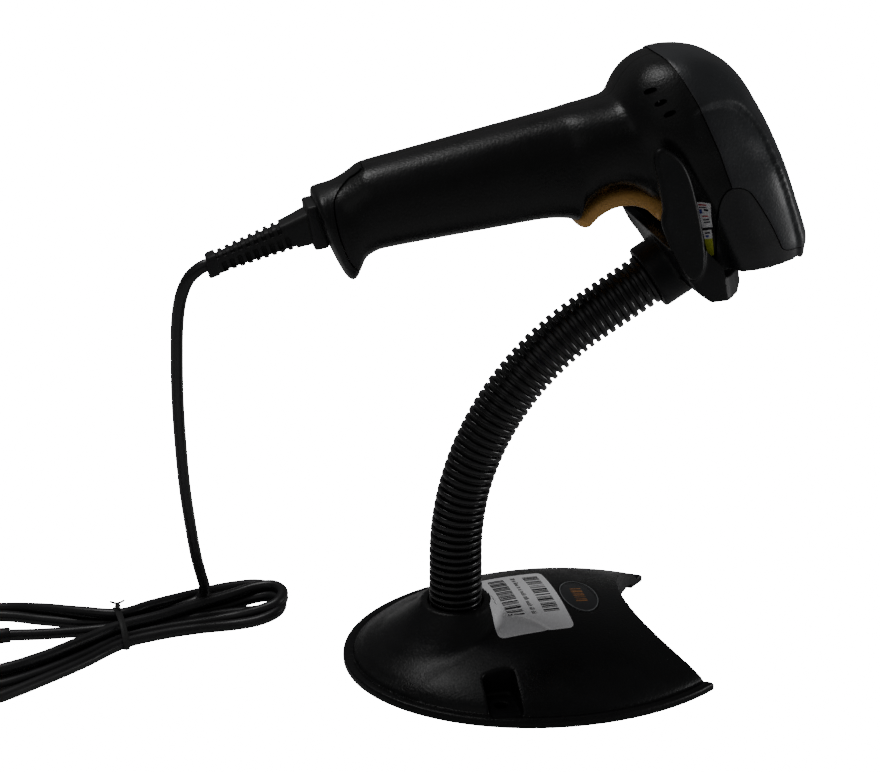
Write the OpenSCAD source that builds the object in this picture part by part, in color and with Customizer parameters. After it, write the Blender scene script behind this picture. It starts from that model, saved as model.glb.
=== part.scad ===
// Handheld barcode scanner resting in its gooseneck stand, with cord.
// X points from the neck towards the open notch of the base, Z is up,
// the table is z = 0, and y = 0 is the plane of symmetry of scanner and stand.

/* [Base] */
// Half length of the oval base
base_a = 78; // [74:1:84]
// Half width of the oval base
base_b = 58; // [55:1:62]
// Height of the rim around the base
rim_h = 4; // [3:0.5:5]
// Height of the dome at its crown
crown_h = 21; // [19:0.5:23]
// Wall thickness of the base shell
base_wall = 2.5; // [2:0.5:3]
// Radius of the notch at the front of the base
notch_r = 55; // [50:1:60]

/* [Neck] */
// Outer radius of the ribs of the sleeve
rib_r = 9.5; // [8.8:0.1:9.8]
// Distance from one rib to the next
rib_pitch = 3.2; // [2.8:0.1:3.4]
// Radius of the bend of the neck
bend_r = 105; // [100:1:110]
// Angle through which the neck bends
bend_deg = 58; // [56:1:60]

/* [Scanner] */
// Tilt of the scanner's handle axis
gun_tilt = 10; // [8:1:12]
// Height of the scanner's own origin
gun_z = 190; // [188:0.5:192]

/* [Cradle] */
// Gap between the two wings
wing_gap = 56; // [55:0.5:58]
// Thickness of a wing
wing_t = 3; // [2.5:0.5:3.5]

/* [Cord] */
// Diameter of the cord
cord_d = 4.5; // [4:0.1:5]

/* [Hidden] */
$fn = 64;
eps = 0.01;

// Base: the dome is a cap of a body turned about the X axis, inside an oval
dome_a = base_a - 3.5;
dome_b = base_b - 3.5;
dome_r = (pow(dome_b, 2) + pow(crown_h - rim_h, 2)) / (2 * (crown_h - rim_h));
dome_drop = dome_r - crown_h;
notch_x = 85;
neck_x = -36;
boss_z = 21.5;
boss_r = 12.6;
boss_top = 25;
pocket_x = -28;
pocket_y = 42;
pocket_w = 12;
pocket_floor = 3;
wall_screw_r = 2.25;
post_at = [[-60, 0], [18, 37], [18, -37]];
foot_at = [[-58, 20], [-58, -20], [32, 40], [32, -40], [3, 0]];
foot_r = 6;
plate_z = 1;
plate_t = 2;

// Neck: straight, then a bend, then straight again; s is the distance along it
s_bend = 23;
s_straight = s_bend + bend_r * bend_deg * PI / 180;
bend_z = boss_z + 0.5 + s_bend;
s_rim = s_straight + 24;
pivot_s = [12, 46, 86, 126];
joint_gap = 2.2;
sleeve_r = 8;
sleeve_in = 6.7;
ball_r = 4.8;
socket_r = 4.9;
cup_r = 6.2;
rod_r = 3;

// Cradle, in the scanner's own axes
collar_r = 12.2;
collar_len = 17;

// Cord route, from the strain relief down to the hank
ROUTE = [[-121.6, 0, 162], [-125, 0, 160.8], [-129.2, 0.8, 156.8], [-132, 3, 149.6], [-133.4, 6.6, 140],
         [-134, 11.5, 127], [-134.2, 20.6, 105], [-133.5, 31, 81], [-132.5, 39.5, 62], [-131, 46.6, 45],
         [-129.2, 52.8, 28], [-127.4, 56.8, 17], [-126, 59, 10], [-126, 59.4, 6]];
hank_h = 8.5;
HANK = [[-93, 57], [-96, 65], [-103, 68.5], [-113, 69], [-125, 67.5], [-140, 62], [-160, 53.5], [-175, 56],
        [-190, 64], [-206, 72], [-235, 76], [-256, 73], [-268, 62], [-272, 45], [-266, 25], [-258, 0],
        [-252, -8], [-240, -12], [-225, -9], [-206, -3.5], [-190, 5], [-175, 16.5], [-160, 28.5],
        [-145, 34], [-130, 36], [-112, 37], [-101, 38], [-95, 43]];
HANK_GAP = [[-202, 38], [-202, 50], [-212, 55], [-240, 60], [-256, 55], [-262, 44], [-258, 34], [-244, 27],
            [-220, 26], [-206, 29]];

// Helpers
function clamp(v, a, b) = max(a, min(b, v));
function dome_x(x) = sqrt(max(0, pow(dome_r, 2) - pow(dome_b / dome_a * x, 2)));
function unit(v) = v / norm(v);
function neck_at(s) =
    s < s_bend ? [neck_x, 0, boss_z + 0.5 + s] :
    s < s_straight ? let (q = (s - s_bend) / bend_r * 180 / PI)
        [neck_x + bend_r * (1 - cos(q)), 0, bend_z + bend_r * sin(q)] :
    [neck_x + bend_r * (1 - cos(bend_deg)) + (s - s_straight) * sin(bend_deg), 0,
     bend_z + bend_r * sin(bend_deg) + (s - s_straight) * cos(bend_deg)];
function neck_turn(s) = clamp((s - s_bend) / bend_r * 180 / PI, 0, bend_deg);

module at_neck(s) {
    translate(neck_at(s)) rotate([0, neck_turn(s), 0]) children();
}

module at_gun() {
    translate([0, 0, gun_z]) rotate([0, -gun_tilt, 0]) children();
}

module rounded(w, h, r) {
    for (x = [-1, 1], y = [-1, 1]) translate([x * (w / 2 - r), y * (h / 2 - r)]) circle(r);
    square([w - 2 * r, h], center = true);
    square([w, h - 2 * r], center = true);
}

// Oval outline with the front notch cut out
module oval(a, b) {
    polygon([for (i = [0:71]) [a * cos(i * 5), b * sin(i * 5)]]);
}

module notched(a, b, r) {
    difference() {
        oval(a, b);
        translate([notch_x, 0]) circle(r, $fn = 180);
    }
}

// The turned body whose cap is the dome, grown or shrunk by g
module dome_body(g) {
    translate([0, 0, -dome_drop]) rotate([0, 90, 0])
        rotate_extrude($fn = 128)
            polygon(concat([[0, -80]], [for (i = [-8:8]) [dome_x(i * 9.375) + g, i * 10]], [[0, 80]]));
}

// Flared boss around the foot of the neck
module boss_profile() {
    translate([neck_x, 0, 0]) rotate_extrude()
        polygon([[0, 0], [34, 0], [34, 7.9], [28, 11.6], [22, 16], [17.5, 20.2], [14.6, 23.4],
                 [boss_r, boss_top], [0, boss_top]]);
}

module base_shell() {
    color([0.09, 0.09, 0.1]) difference() {
        union() {
            translate([0, 0, 0.6]) linear_extrude(rim_h - 0.6) notched(base_a, base_b, notch_r);
            intersection() {
                translate([0, 0, 0.6]) linear_extrude(crown_h + 5) notched(dome_a, dome_b, notch_r);
                dome_body(0);
            }
            boss_profile();
        }
        difference() {
            intersection() {
                translate([0, 0, -1]) linear_extrude(crown_h + 5)
                    notched(dome_a - base_wall, dome_b - base_wall, notch_r + base_wall);
                dome_body(-base_wall);
            }
            translate([neck_x, 0, 0]) cylinder(r = 17, h = 40);
            for (p = post_at) translate([p[0], p[1], 3]) cylinder(r = 4, h = 30);
            for (y = [-1, 1]) translate([pocket_x - pocket_w / 2 - 2, y * 44 - 10, 0])
                cube([pocket_w + 4, 20, 40]);
        }
        for (y = [-1, 1]) {
            translate([pocket_x, y * 45, pocket_floor + 10]) cube([pocket_w, 13, 20], center = true);
            translate([pocket_x, y * 38.5, pocket_floor]) cylinder(r = pocket_w / 2, h = 30);
            translate([pocket_x, y * pocket_y, -1]) cylinder(r = wall_screw_r, h = 10);
        }
        for (p = post_at) translate([p[0], p[1], -1]) cylinder(r = 1.25, h = 11);
        translate([neck_x, 0, 15]) cylinder(r = 10.4, h = 14);
        translate([neck_x, 0, -1]) cylinder(r = 6.1, h = 20);
        translate([neck_x, 0, -1]) cylinder(r = 10, h = 11);
        intersection() {
            badge_prism(0.3);
            difference() {
                dome_body(5);
                dome_body(-0.8);
            }
        }
    }
}

module badge_prism(g) {
    translate([12.5, 1.5, 10]) linear_extrude(20)
        polygon([for (i = [0:47]) [(7 + g) * cos(i * 7.5), (12.5 + g) * sin(i * 7.5)]]);
}

module badge_plate() {
    color([0.12, 0.12, 0.12]) intersection() {
        badge_prism(0);
        difference() {
            dome_body(-0.2);
            dome_body(-0.8);
        }
    }
}

// The label's sheet, the film of glue that holds it off the dome, and the curve that clears the boss
label_t = 0.25;
label_glue = 0.02;
label_cut_r = 21.5;

module setup_label() {
    color("white") intersection() {
        translate([-10, 3.5, 10]) rotate([0, 0, 1.5]) linear_extrude(20) rounded(29, 48, 2.5);
        difference() {
            dome_body(label_glue + label_t);
            dome_body(label_glue);
        }
        difference() {
            translate([0, 0, 12]) cylinder(r = 60, h = 20);
            translate([neck_x, 0, 0]) cylinder(r = label_cut_r, h = 40);
        }
    }
}

module base_plate() {
    color([0.5, 0.5, 0.52]) difference() {
        translate([0, 0, plate_z]) linear_extrude(plate_t)
            notched(dome_a - base_wall - 1, dome_b - base_wall - 1, notch_r + base_wall + 1);
        for (p = post_at) translate([p[0], p[1], 0]) cylinder(r = 1.7, h = 6);
        for (y = [-1, 1]) translate([pocket_x, y * 46, 2]) cube([pocket_w + 6, 26, 8], center = true);
        translate([neck_x, 0, -1]) cylinder(r = 17.3, h = 12);
    }
}

module ballast_weight() {
    color([0.35, 0.35, 0.36]) difference() {
        translate([-0.5, 0, plate_z + plate_t]) linear_extrude(9) rounded(35, 56, 8);
        translate([-9, 0, 0]) cylinder(r = 4.4, h = 20);
    }
}

module base_screws() {
    color("silver") for (p = post_at) translate([p[0], p[1], 0]) {
        translate([0, 0, 0.2]) cylinder(r = 2.8, h = 0.8);
        translate([0, 0, 0.4]) cylinder(r = 1.25, h = 7.6);
    }
}

module rubber_feet() {
    color([0.15, 0.15, 0.15]) for (p = foot_at) translate([p[0], p[1], 0]) cylinder(r = foot_r, h = plate_z);
}

module neck_nut() {
    color("silver") translate([neck_x, 0, 4]) difference() {
        cylinder(r = 9, h = 6, $fn = 6);
        translate([0, 0, -1]) cylinder(r = 6, h = 8);
    }
}

// A stretch of pipe that follows the neck from s0 to s1
module neck_pipe(s0, s1, r) {
    a0 = min(s0, s_bend);
    a1 = min(s1, s_bend);
    if (a1 > a0) at_neck(a0) cylinder(r = r, h = a1 - a0);
    if (a1 > a0 && s1 > a1) at_neck(a1 - 1) cylinder(r = r - 0.3, h = 2);
    b0 = clamp(s0, s_bend, s_straight);
    b1 = clamp(s1, s_bend, s_straight);
    if (b1 > b0)
        translate([neck_x + bend_r, 0, bend_z]) rotate([90, 0, 0])
            rotate([0, 0, 180 - neck_turn(b1)])
                rotate_extrude(angle = neck_turn(b1) - neck_turn(b0), $fn = 200)
                    translate([bend_r, 0]) circle(r);
    c0 = max(s0, s_straight);
    if (s1 > c0) at_neck(c0) cylinder(r = r, h = s1 - c0);
}

// Ribbed sleeve: a ring of points at each [distance, radius], out along the ribs and back inside
function neck_ring(q) = let (c = neck_at(q[0]), t = neck_turn(q[0]))
    [for (j = [0:25]) let (a = j * 360 / 26)
        c + q[1] * (cos(a) * [cos(t), 0, -sin(t)] + sin(a) * [0, 1, 0])];

module sleeve(s0, s1) {
    n = round((s1 - s0) / rib_pitch);
    step = (s1 - s0) / n;
    outside = [for (i = [0:n - 1]) for (q = [[-1.25, sleeve_r], [-0.7, rib_r], [0.7, rib_r], [1.25, sleeve_r]])
        [s0 + (i + 0.5) * step + q[0], q[1]]];
    inside = [for (i = [6:-1:0]) [s0 + step / 2 - 1.25 + (s1 - s0 - step + 2.5) * i / 6, sleeve_in]];
    color([0.08, 0.08, 0.08]) loft_loop([for (q = concat(outside, inside)) neck_ring(q)]);
}

// Skins a row of rings whose last ring joins the first
module loft_loop(rings) {
    n = len(rings[0]);
    m = len(rings);
    polyhedron(
        points = [for (r = rings) for (p = r) p],
        faces = [for (i = [0:m - 1]) for (j = [0:n - 1]) for (k = [0, 1])
            let (q = (j + 1) % n, g = (i + 1) % m)
            k == 0 ? [i * n + j, g * n + j, g * n + q] : [i * n + j, g * n + q, i * n + q]]);
}

module neck_sleeve_0() {
    sleeve(-6.5, pivot_s[0] - joint_gap / 2);
}

module neck_sleeve_1() {
    sleeve(pivot_s[0] + joint_gap / 2, pivot_s[1] - joint_gap / 2);
}

module neck_sleeve_2() {
    sleeve(pivot_s[1] + joint_gap / 2, pivot_s[2] - joint_gap / 2);
}

module neck_sleeve_3() {
    sleeve(pivot_s[2] + joint_gap / 2, pivot_s[3] - joint_gap / 2);
}

module neck_sleeve_4() {
    sleeve(pivot_s[3] + joint_gap / 2, s_rim - 0.3);
}

// A ball at the end of a rod, and a cup that holds such a ball
module link_ball(s) {
    at_neck(s) sphere(ball_r);
}

module link_cup(s) {
    at_neck(s) difference() {
        union() {
            sphere(cup_r);
            cylinder(r = rod_r, h = 8);
        }
        sphere(socket_r);
        translate([0, 0, -10 - 2.6]) cylinder(r = 10, h = 10);
    }
}

module link(s0, s1) {
    color("silver") {
        link_cup(s0);
        neck_pipe(s0 + 5.6, s1 - 1, rod_r);
        link_ball(s1);
    }
}

module neck_link_0() {
    color("silver") {
        translate([neck_x, 0, 3]) cylinder(r = 5.9, h = 19);
        neck_pipe(-1, pivot_s[0] - 1, rod_r);
        link_ball(pivot_s[0]);
    }
}

module neck_link_1() {
    link(pivot_s[0], pivot_s[1]);
}

module neck_link_2() {
    link(pivot_s[1], pivot_s[2]);
}

module neck_link_3() {
    link(pivot_s[2], pivot_s[3]);
}

module neck_link_4() {
    color("silver") {
        link_cup(pivot_s[3]);
        neck_pipe(pivot_s[3] + 5.6, s_rim + 2, rod_r);
        at_neck(s_rim + 1) cylinder(r = 8, h = 10);
    }
}

// Cradle: everything right of this outline is kept free for the scanner
CRADLE_FREE = [[29.5, -26], [31.5, -30], [33.2, -33], [36, -39.5], [39, -44.5], [41.5, -46.5],
               [90, -46.5], [90, 40], [29.5, 40]];
CRADLE_BACK = [[27.3, -29], [29.5, -33], [33, -42], [36, -48], [40, -52], [46, -52.5],
               [46, -40], [38, -29]];
CRADLE_LIP = [[36, -48], [40, -51.5], [44, -53.8], [49, -54.8], [53.5, -53.8], [56, -51.6], [57, -48.6],
              [55.6, -46.6], [38, -44]];
WING = [[25.5, -20], [26.5, -14], [26.2, -7], [25.6, 2], [26.6, 6.4], [29, 7], [32, 5.2], [35.2, 1],
        [37.2, -4.7], [38.2, -11], [38.9, -18], [39.4, -26], [39.3, -33], [38.4, -38], [36, -42],
        [33, -42], [29.5, -33]];
FLOOR_HW = 21;

module side(points, y0, y1) {
    translate([0, y1, 0]) rotate([90, 0, 0]) linear_extrude(y1 - y0) polygon(points);
}

module cradle() {
    color([0.1, 0.1, 0.11]) difference() {
        union() {
            at_gun() {
                for (y = [-wing_gap / 2 - wing_t, wing_gap / 2]) side(WING, y, y + wing_t);
                side(CRADLE_BACK, -wing_gap / 2 - eps, wing_gap / 2 + eps);
                side(CRADLE_LIP, -FLOOR_HW, FLOOR_HW);
            }
            at_neck(s_rim) cylinder(r = collar_r, h = collar_len);
        }
        at_gun() side(CRADLE_FREE, -wing_gap / 2, wing_gap / 2);
        at_neck(s_rim) translate([0, 0, -1]) cylinder(r = 8.02, h = 12.1);
        at_neck(s_rim + 6) rotate([0, 90, 0]) cylinder(r = 2, h = 20);
    }
}

module collar_screw() {
    color("silver") at_neck(s_rim + 6) rotate([0, 90, 0]) translate([0, 0, 8.03]) difference() {
        cylinder(r = 1.97, h = 4);
        translate([0, 0, 2]) cylinder(r = 1, h = 3, $fn = 6);
    }
}

// Scanner outer form: [distance along the handle, top, bottom, half width]
GRIP = [[-86, 9, 2.5, 9], [-85.3, 10.8, -1.5, 13], [-84, 11.4, -8, 14.8], [-82, 11.7, -15.8, 15.4],
        [-80, 12, -21, 15.4], [-78, 12.3, -22.4, 15], [-76, 12.8, -20.6, 15], [-73, 13.8, -15.8, 15],
        [-70, 15.2, -14.3, 15], [-66, 16.4, -13.6, 15.2], [-50, 17.2, -14.2, 15.5],
        [-30, 18.2, -15.2, 16], [-10, 19.1, -16.2, 16.6], [-1, 19.5, -18, 17.2], [2.5, 19.7, -19.6, 17.6],
        [5, 19.8, -15, 18], [9, 20, -11.5, 18.5], [14.5, 20.2, -9.7, 19], [20, 20.6, -10.2, 20],
        [25, 21, -13, 21], [30, 21.6, -17.5, 21.5], [38, 21.6, -20, 22]];
GRIP_IN = [[-77.5, 7, -13, 11], [-74, 10.5, -12.6, 12.6], [-70, 13, -12.1, 12.8], [-66, 14.2, -11.4, 13],
           [-50, 15, -12, 13.3], [-30, 16, -13, 13.8], [-10, 16.9, -14, 14.4], [-1, 17.3, -14, 15],
           [5, 17.6, -10.5, 15.8], [9, 17.8, -9, 16.3], [14.5, 18, -7.5, 16.8], [20, 18.4, -8, 17.8],
           [25, 18.8, -10.5, 18.8], [30, 19.2, -12, 19.2], [40, 19.2, -12, 19.2]];
// Head: [height across the handle, rear, front, half width, share of the waisted outline]
HEAD = [[-43, 41, 77, 32, 1], [-36, 38, 78.3, 33.5, 1], [-30, 36, 77.5, 33.5, 1], [-20, 33, 75.7, 33, 1],
        [-11, 29, 74, 32.5, 1], [-4, 25.5, 72.6, 31.5, 0.8], [4, 22, 70.8, 31, 0.35], [11, 20, 68.8, 29.5, 0],
        [18, 21, 65.9, 27.2, 0], [23, 23.5, 62.8, 24.6, 0], [26.4, 26, 59.6, 21.8, 0], [29, 29, 55.6, 18.4, 0],
        [31, 32.5, 49.5, 13.4, 0], [31.7, 36, 45, 8.5, 0]];
HEAD_IN = [[-40.8, 42.5, 74.8, 30.6, 1], [-36, 40.4, 75.7, 31, 1], [-30, 38.4, 75, 31, 1],
           [-20, 35.4, 73.2, 30.6, 1], [-11, 31.4, 71.5, 30, 1], [-4, 28, 69.8, 29.2, 0.8],
           [4, 24.6, 67.4, 28.6, 0.35], [11, 23, 64.6, 27, 0], [18, 24.6, 59.6, 24, 0],
           [23, 28, 54.4, 20.4, 0], [27, 32, 49.6, 15.6, 0], [30, 36, 43.5, 8, 0]];
// Outline of a head section: [share from rear to front, smooth width, waisted width]
GIRTH = [[0, 0.12, 0.3], [0.02, 0.42, 0.6], [0.08, 0.66, 0.7], [0.18, 0.83, 0.75], [0.23, 0.88, 0.78],
         [0.29, 0.93, 0.92], [0.38, 0.98, 0.97], [0.48, 1, 1], [0.6, 1, 1], [0.74, 0.95, 0.985],
         [0.86, 0.83, 0.93], [0.95, 0.62, 0.78], [0.99, 0.38, 0.56], [1, 0.12, 0.3]];
GRIP_N = 28;

function sgn_pow(v, p) = sign(v) * pow(abs(v), p);
function grip_ring(s) = [for (j = [0:GRIP_N - 1]) let (a = j * 360 / GRIP_N)
    [s[0], s[3] * sgn_pow(cos(a), 0.8), (s[1] + s[2]) / 2 + (s[1] - s[2]) / 2 * sgn_pow(sin(a), 0.8)]];
function head_half(s, side) = [for (g = GIRTH)
    [s[1] + g[0] * (s[2] - s[1]), side * s[3] * (g[1] + (g[2] - g[1]) * s[4]), s[0]]];
function flip(v) = [for (i = [len(v) - 1:-1:0]) v[i]];
function head_ring(s) = concat(head_half(s, -1), flip(head_half(s, 1)));

// Skins a row of rings that all have the same number of points; a strip cap joins each
// point of the ring's first half to its opposite in the second half
function cap_faces(n, strip, start, up) = strip
    ? [for (j = [0:n / 2 - 2]) up ? [start + n - 1 - j, start + n - 2 - j, start + j + 1, start + j]
        : [start + j, start + j + 1, start + n - 2 - j, start + n - 1 - j]]
    : [up ? [for (j = [n - 1:-1:0]) start + j] : [for (j = [0:n - 1]) start + j]];

module loft(rings, strip = false) {
    n = len(rings[0]);
    m = len(rings);
    polyhedron(
        points = [for (r = rings) for (p = r) p],
        faces = concat(
            cap_faces(n, strip, 0, false),
            [for (i = [0:m - 2]) for (j = [0:n - 1]) for (k = [0, 1]) let (q = (j + 1) % n)
                k == 0 ? [i * n + j, (i + 1) * n + j, (i + 1) * n + q] : [i * n + j, (i + 1) * n + q, i * n + q]],
            cap_faces(n, strip, (m - 1) * n, true)));
}

module grip_form() {
    loft([for (s = GRIP) grip_ring(s)]);
}

module head_form() {
    loft([for (s = HEAD) head_ring(s)], true);
}

module grip_hollow() {
    loft([for (s = GRIP_IN) grip_ring(s)]);
}

module head_hollow() {
    loft([for (s = HEAD_IN) head_ring(s)], true);
}

// Seams, as outlines in the side view
HOOD_SEAM = [[38.6, 40], [38.6, 31.8], [41, 27], [44.5, 15.5], [48.7, -0.4], [50.6, -11.4], [53.4, -11.8],
             [56.7, -14.2], [59.4, -19.3], [64.7, -33.3], [65.6, -36.2], [67.6, -37.6], [71.9, -38.2],
             [90, -41], [90, 40]];
BEZEL_SEAM = [[44.3, -50], [44.3, -41], [45.2, -27], [45.5, -18], [47, -14.3], [50.6, -11.4], [53.4, -11.8],
              [56.7, -14.2], [59.4, -19.3], [64.7, -33.3], [65.6, -36.2], [67.6, -37.6], [71.9, -38.2],
              [90, -41], [90, -50]];
CAP_SEAM = [[-67.6, 25], [-67.6, 16.5], [-70.2, 14.9], [-74, 13.2], [-78.5, 10.5], [-80.6, 7], [-81, 0],
            [-80.3, -7], [-78.6, -14], [-75.4, -19.4], [-75, -30], [-95, -30], [-95, 25]];
WINDOW = [56, 71.5, 22];
PIVOT = [40.5, -19.5];
pin_r = 1.2;
slot_hw = 8.4;
// Housing screws: [along, across, depth of the head's seat]
screw_at = [[-40, -5, 11], [-12, -5, 11.6], [26, 13, 16]];

module trigger_slot() {
    translate([1, -slot_hw, -28]) cube([41, 2 * slot_hw, 22]);
}

module plug_hole() {
    translate([-90, -6.3, -6]) cube([30, 12.6, 10.5]);
}

module screw_bosses() {
    intersection() {
        union() {
            grip_form();
            head_form();
        }
        for (p = screw_at) translate([p[0], 40, p[1]]) rotate([90, 0, 0]) cylinder(r = 4.4, h = 80);
    }
}

module housing_shell() {
    difference() {
        union() {
            difference() {
                union() {
                    grip_form();
                    head_form();
                }
                grip_hollow();
                head_hollow();
            }
            screw_bosses();
        }
        trigger_slot();
        plug_hole();
        side(HOOD_SEAM, -50, 50);
        side(BEZEL_SEAM, -50, 50);
        side(CAP_SEAM, -50, 50);
    }
}

module housing_left() {
    color([0.1, 0.1, 0.11]) at_gun() difference() {
        housing_shell();
        translate([-100, 0, -100]) cube([200, 100, 200]);
        for (i = [-1:1]) translate([32.4 + i * 1.85, -15, 20.4 - i * 3.6]) rotate([90, 0, 0])
            linear_extrude(20) polygon([for (j = [0:11]) [1.8 * cos(j * 30 + 5), 1 * sin(j * 30 + 25)]]);
        for (p = screw_at) translate([p[0], 0, p[1]]) rotate([90, 0, 0]) cylinder(r = 1.4, h = 8);
    }
}

module housing_right() {
    color([0.1, 0.1, 0.11]) at_gun() difference() {
        housing_shell();
        translate([-100, -100, -100]) cube([200, 100, 200]);
        for (p = screw_at) translate([p[0], 0, p[1]]) rotate([-90, 0, 0]) {
            cylinder(r = 1.6, h = 50);
            translate([0, 0, p[2]]) cylinder(r = 3, h = 30);
        }
    }
}

module front_hood() {
    color([0.16, 0.16, 0.17]) at_gun() intersection() {
        difference() {
            head_form();
            head_hollow();
        }
        side(HOOD_SEAM, -50, 50);
    }
}

module window_bezel() {
    color([0.12, 0.12, 0.13]) at_gun() difference() {
        union() {
            intersection() {
                difference() {
                    head_form();
                    head_hollow();
                }
                side(BEZEL_SEAM, -50, 50);
            }
            side([[45, -42], [45.2, -45.4], [46.6, -46], [51, -44.8], [55, -42.6], [55, -42]], -19, 19);
        }
        translate([WINDOW[0], -WINDOW[2], -60]) cube([WINDOW[1] - WINDOW[0], 2 * WINDOW[2], 22]);
    }
}

module scan_window() {
    color([0.25, 0.03, 0.04, 0.6]) at_gun() translate([WINDOW[0] - 1, -WINDOW[2] - 1.6, -40.8])
        cube([WINDOW[1] - WINDOW[0] + 2.3, 2 * WINDOW[2] + 3.2, 1.2]);
}

module end_cap() {
    color([0.1, 0.1, 0.11]) at_gun() difference() {
        intersection() {
            grip_form();
            side(CAP_SEAM, -50, 50);
        }
        grip_hollow();
        translate([-84, -7.6, -8.3]) mirror([1, 0, 0]) cube([10, 15.2, 15.8]);
        plug_hole();
    }
}

module trigger() {
    color([0.93, 0.66, 0.22]) at_gun() difference() {
        union() {
            translate([18, 0, -34]) rotate([90, 0, 0]) rotate([0, 0, 30]) rotate_extrude(angle = 104, $fn = 128)
                translate([19, 0]) rounded(6, 16, 2.5);
            translate([18, 0, -34]) rotate([0, -134, 0]) translate([19, 0, 0]) rotate([90, 0, 0])
                cylinder(r = 3, h = 16, center = true);
            side([[30.6, -25.6], [31.5, -20], [35, -17.4], [40, -16.1], [43.6, -19], [40.6, -22.9], [35, -25.2]], -8, 8);
            translate([PIVOT[0], 8, PIVOT[1]]) rotate([90, 0, 0]) cylinder(r = 3.4, h = 16);
            translate([12, -2, -14]) cube([4, 4, 4.6]);
        }
        translate([PIVOT[0], 10, PIVOT[1]]) rotate([90, 0, 0]) cylinder(r = pin_r + 0.05, h = 20);
    }
}

module trigger_pin() {
    color("silver") at_gun() translate([PIVOT[0], 12.4, PIVOT[1]]) rotate([90, 0, 0]) cylinder(r = pin_r, h = 24.8);
}

module chassis() {
    color([0.2, 0.2, 0.2]) at_gun() difference() {
        union() {
            for (y = [-11.2, 9]) side([[38, -23.5], [44, -23.5], [44, -4.2], [33, -4.2], [33, -9.5]], y, y + 2.2);
            translate([24, -11.2, -5.8]) cube([20, 22.4, 1.8]);
        }
        translate([PIVOT[0], 13, PIVOT[1]]) rotate([90, 0, 0]) cylinder(r = pin_r + 0.01, h = 26);
    }
}

// Return spring of the trigger: a round wire wound by a rule
spring_turns = 4;
spring_r = 2.2;
wire_r = 0.35;
spring_low = -12.1;
spring_high = -6.2;

function spring_ring(i) = let (a = i * 30, h = spring_low + (spring_high - spring_low) * i / (spring_turns * 12))
    [for (j = [0:5]) [(spring_r + wire_r * cos(j * 60)) * cos(a), (spring_r + wire_r * cos(j * 60)) * sin(a),
                      h + wire_r * sin(j * 60)]];

module trigger_spring() {
    color("silver") at_gun() translate([27, 0, 0]) loft([for (i = [0:spring_turns * 12]) flip(spring_ring(i))]);
}

module trigger_switch() {
    color([0.2, 0.2, 0.25]) at_gun() {
        translate([11, -3, -3]) cube([6.5, 6, 8.2]);
        translate([14, 0, -5.4]) cylinder(r = 1.1, h = 2.4);
    }
}

module main_board() {
    color([0.05, 0.3, 0.12]) at_gun() translate([-64, -11.5, 5.2]) cube([84, 23, 1.6]);
}

module cable_socket() {
    color([0.85, 0.85, 0.8]) at_gun() difference() {
        translate([-64, -8, -8]) cube([17, 16, 13.2]);
        translate([-65, -6, -5.6]) cube([10, 12, 9.6]);
    }
}

module cable_plug() {
    color([0.9, 0.9, 0.88, 0.6]) at_gun() translate([-83, -5.5, -5]) cube([27, 11, 8.4]);
}

module scan_engine() {
    color([0.15, 0.15, 0.17]) at_gun() difference() {
        translate([48, -16, -33]) cube([22, 32, 22]);
        translate([62, 0, -34]) cylinder(r = 5.6, h = 12);
    }
}

module engine_lens() {
    color([0.3, 0.3, 0.4]) at_gun() translate([62, 0, -36]) {
        difference() {
            cylinder(r = 5.5, h = 13);
            translate([0, 0, -1]) cylinder(r = 4.2, h = 4);
        }
        translate([0, 0, 1]) cylinder(r = 4.1, h = 2.5);
    }
}

module light_board() {
    color([0.05, 0.3, 0.12]) at_gun() difference() {
        union() {
            translate([50, -22, -37.6]) cube([22, 44, 1.4]);
            for (y = [-19, -12, 12, 19]) translate([67, y, -39.3]) cylinder(r = 1.5, h = 2);
        }
        translate([62, 0, -42]) cylinder(r = 5.9, h = 10);
    }
}

module beeper() {
    color([0.1, 0.1, 0.1]) at_gun() translate([38, -13, 12]) rotate([90, 0, 0]) difference() {
        cylinder(r = 6, h = 5);
        translate([0, 0, 4]) cylinder(r = 1.5, h = 2);
    }
}

module housing_screws() {
    color("silver") at_gun() for (p = screw_at) translate([p[0], p[2], p[1]]) rotate([-90, 0, 0]) difference() {
        union() {
            translate([0, 0, -16]) cylinder(r = 1.4, h = 17);
            cylinder(r = 2.7, h = 2);
        }
        translate([0, 0, 1]) cylinder(r = 1, h = 3, $fn = 6);
    }
}

module marker_stickers() {
    color("white") at_gun() intersection() {
        union() {
            side([[39.4, -15.7], [43.3, -15.9], [44.2, -25.4], [40.7, -25.4]], -50, 0);
            side([[40.9, -26.2], [43.8, -26.2], [43.8, -36], [41.8, -36]], -50, 0);
        }
        difference() {
            translate([0, -0.3, 0]) head_form();
            head_form();
        }
    }
}

// Strain relief: square, tapered, with notches on every side
relief_len = 39;

module strain_relief() {
    color([0.1, 0.1, 0.1]) at_gun() {
        translate([-89.4, -7.5, -8.2]) cube([5.3, 15, 15.6]);
        translate([-86, 0, -0.4]) rotate([0, -9, 0]) difference() {
            union() {
                hull() {
                    translate([-3, -6, -6]) cube([1.5, 12, 12]);
                    translate([-relief_len + 3, -4.2, -4.2]) cube([1, 8.4, 8.4]);
                }
                translate([-relief_len, -4.8, -4.8]) cube([3.2, 9.6, 9.6]);
            }
            for (i = [0:8]) translate([-relief_len + 4.6 + i * 3, 0, 0]) {
                for (s = [-1, 1]) {
                    translate([0, s * 6, 2.3]) cube([1.4, 5 - i * 0.15, 2.6], center = true);
                    translate([1.4, s * 6, -2.3]) cube([1.4, 5 - i * 0.15, 2.6], center = true);
                    translate([0.7, 0, s * (4.9 + i * 0.16)]) cube([1.5, 20, 1.4], center = true);
                }
            }
        }
    }
}

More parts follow.
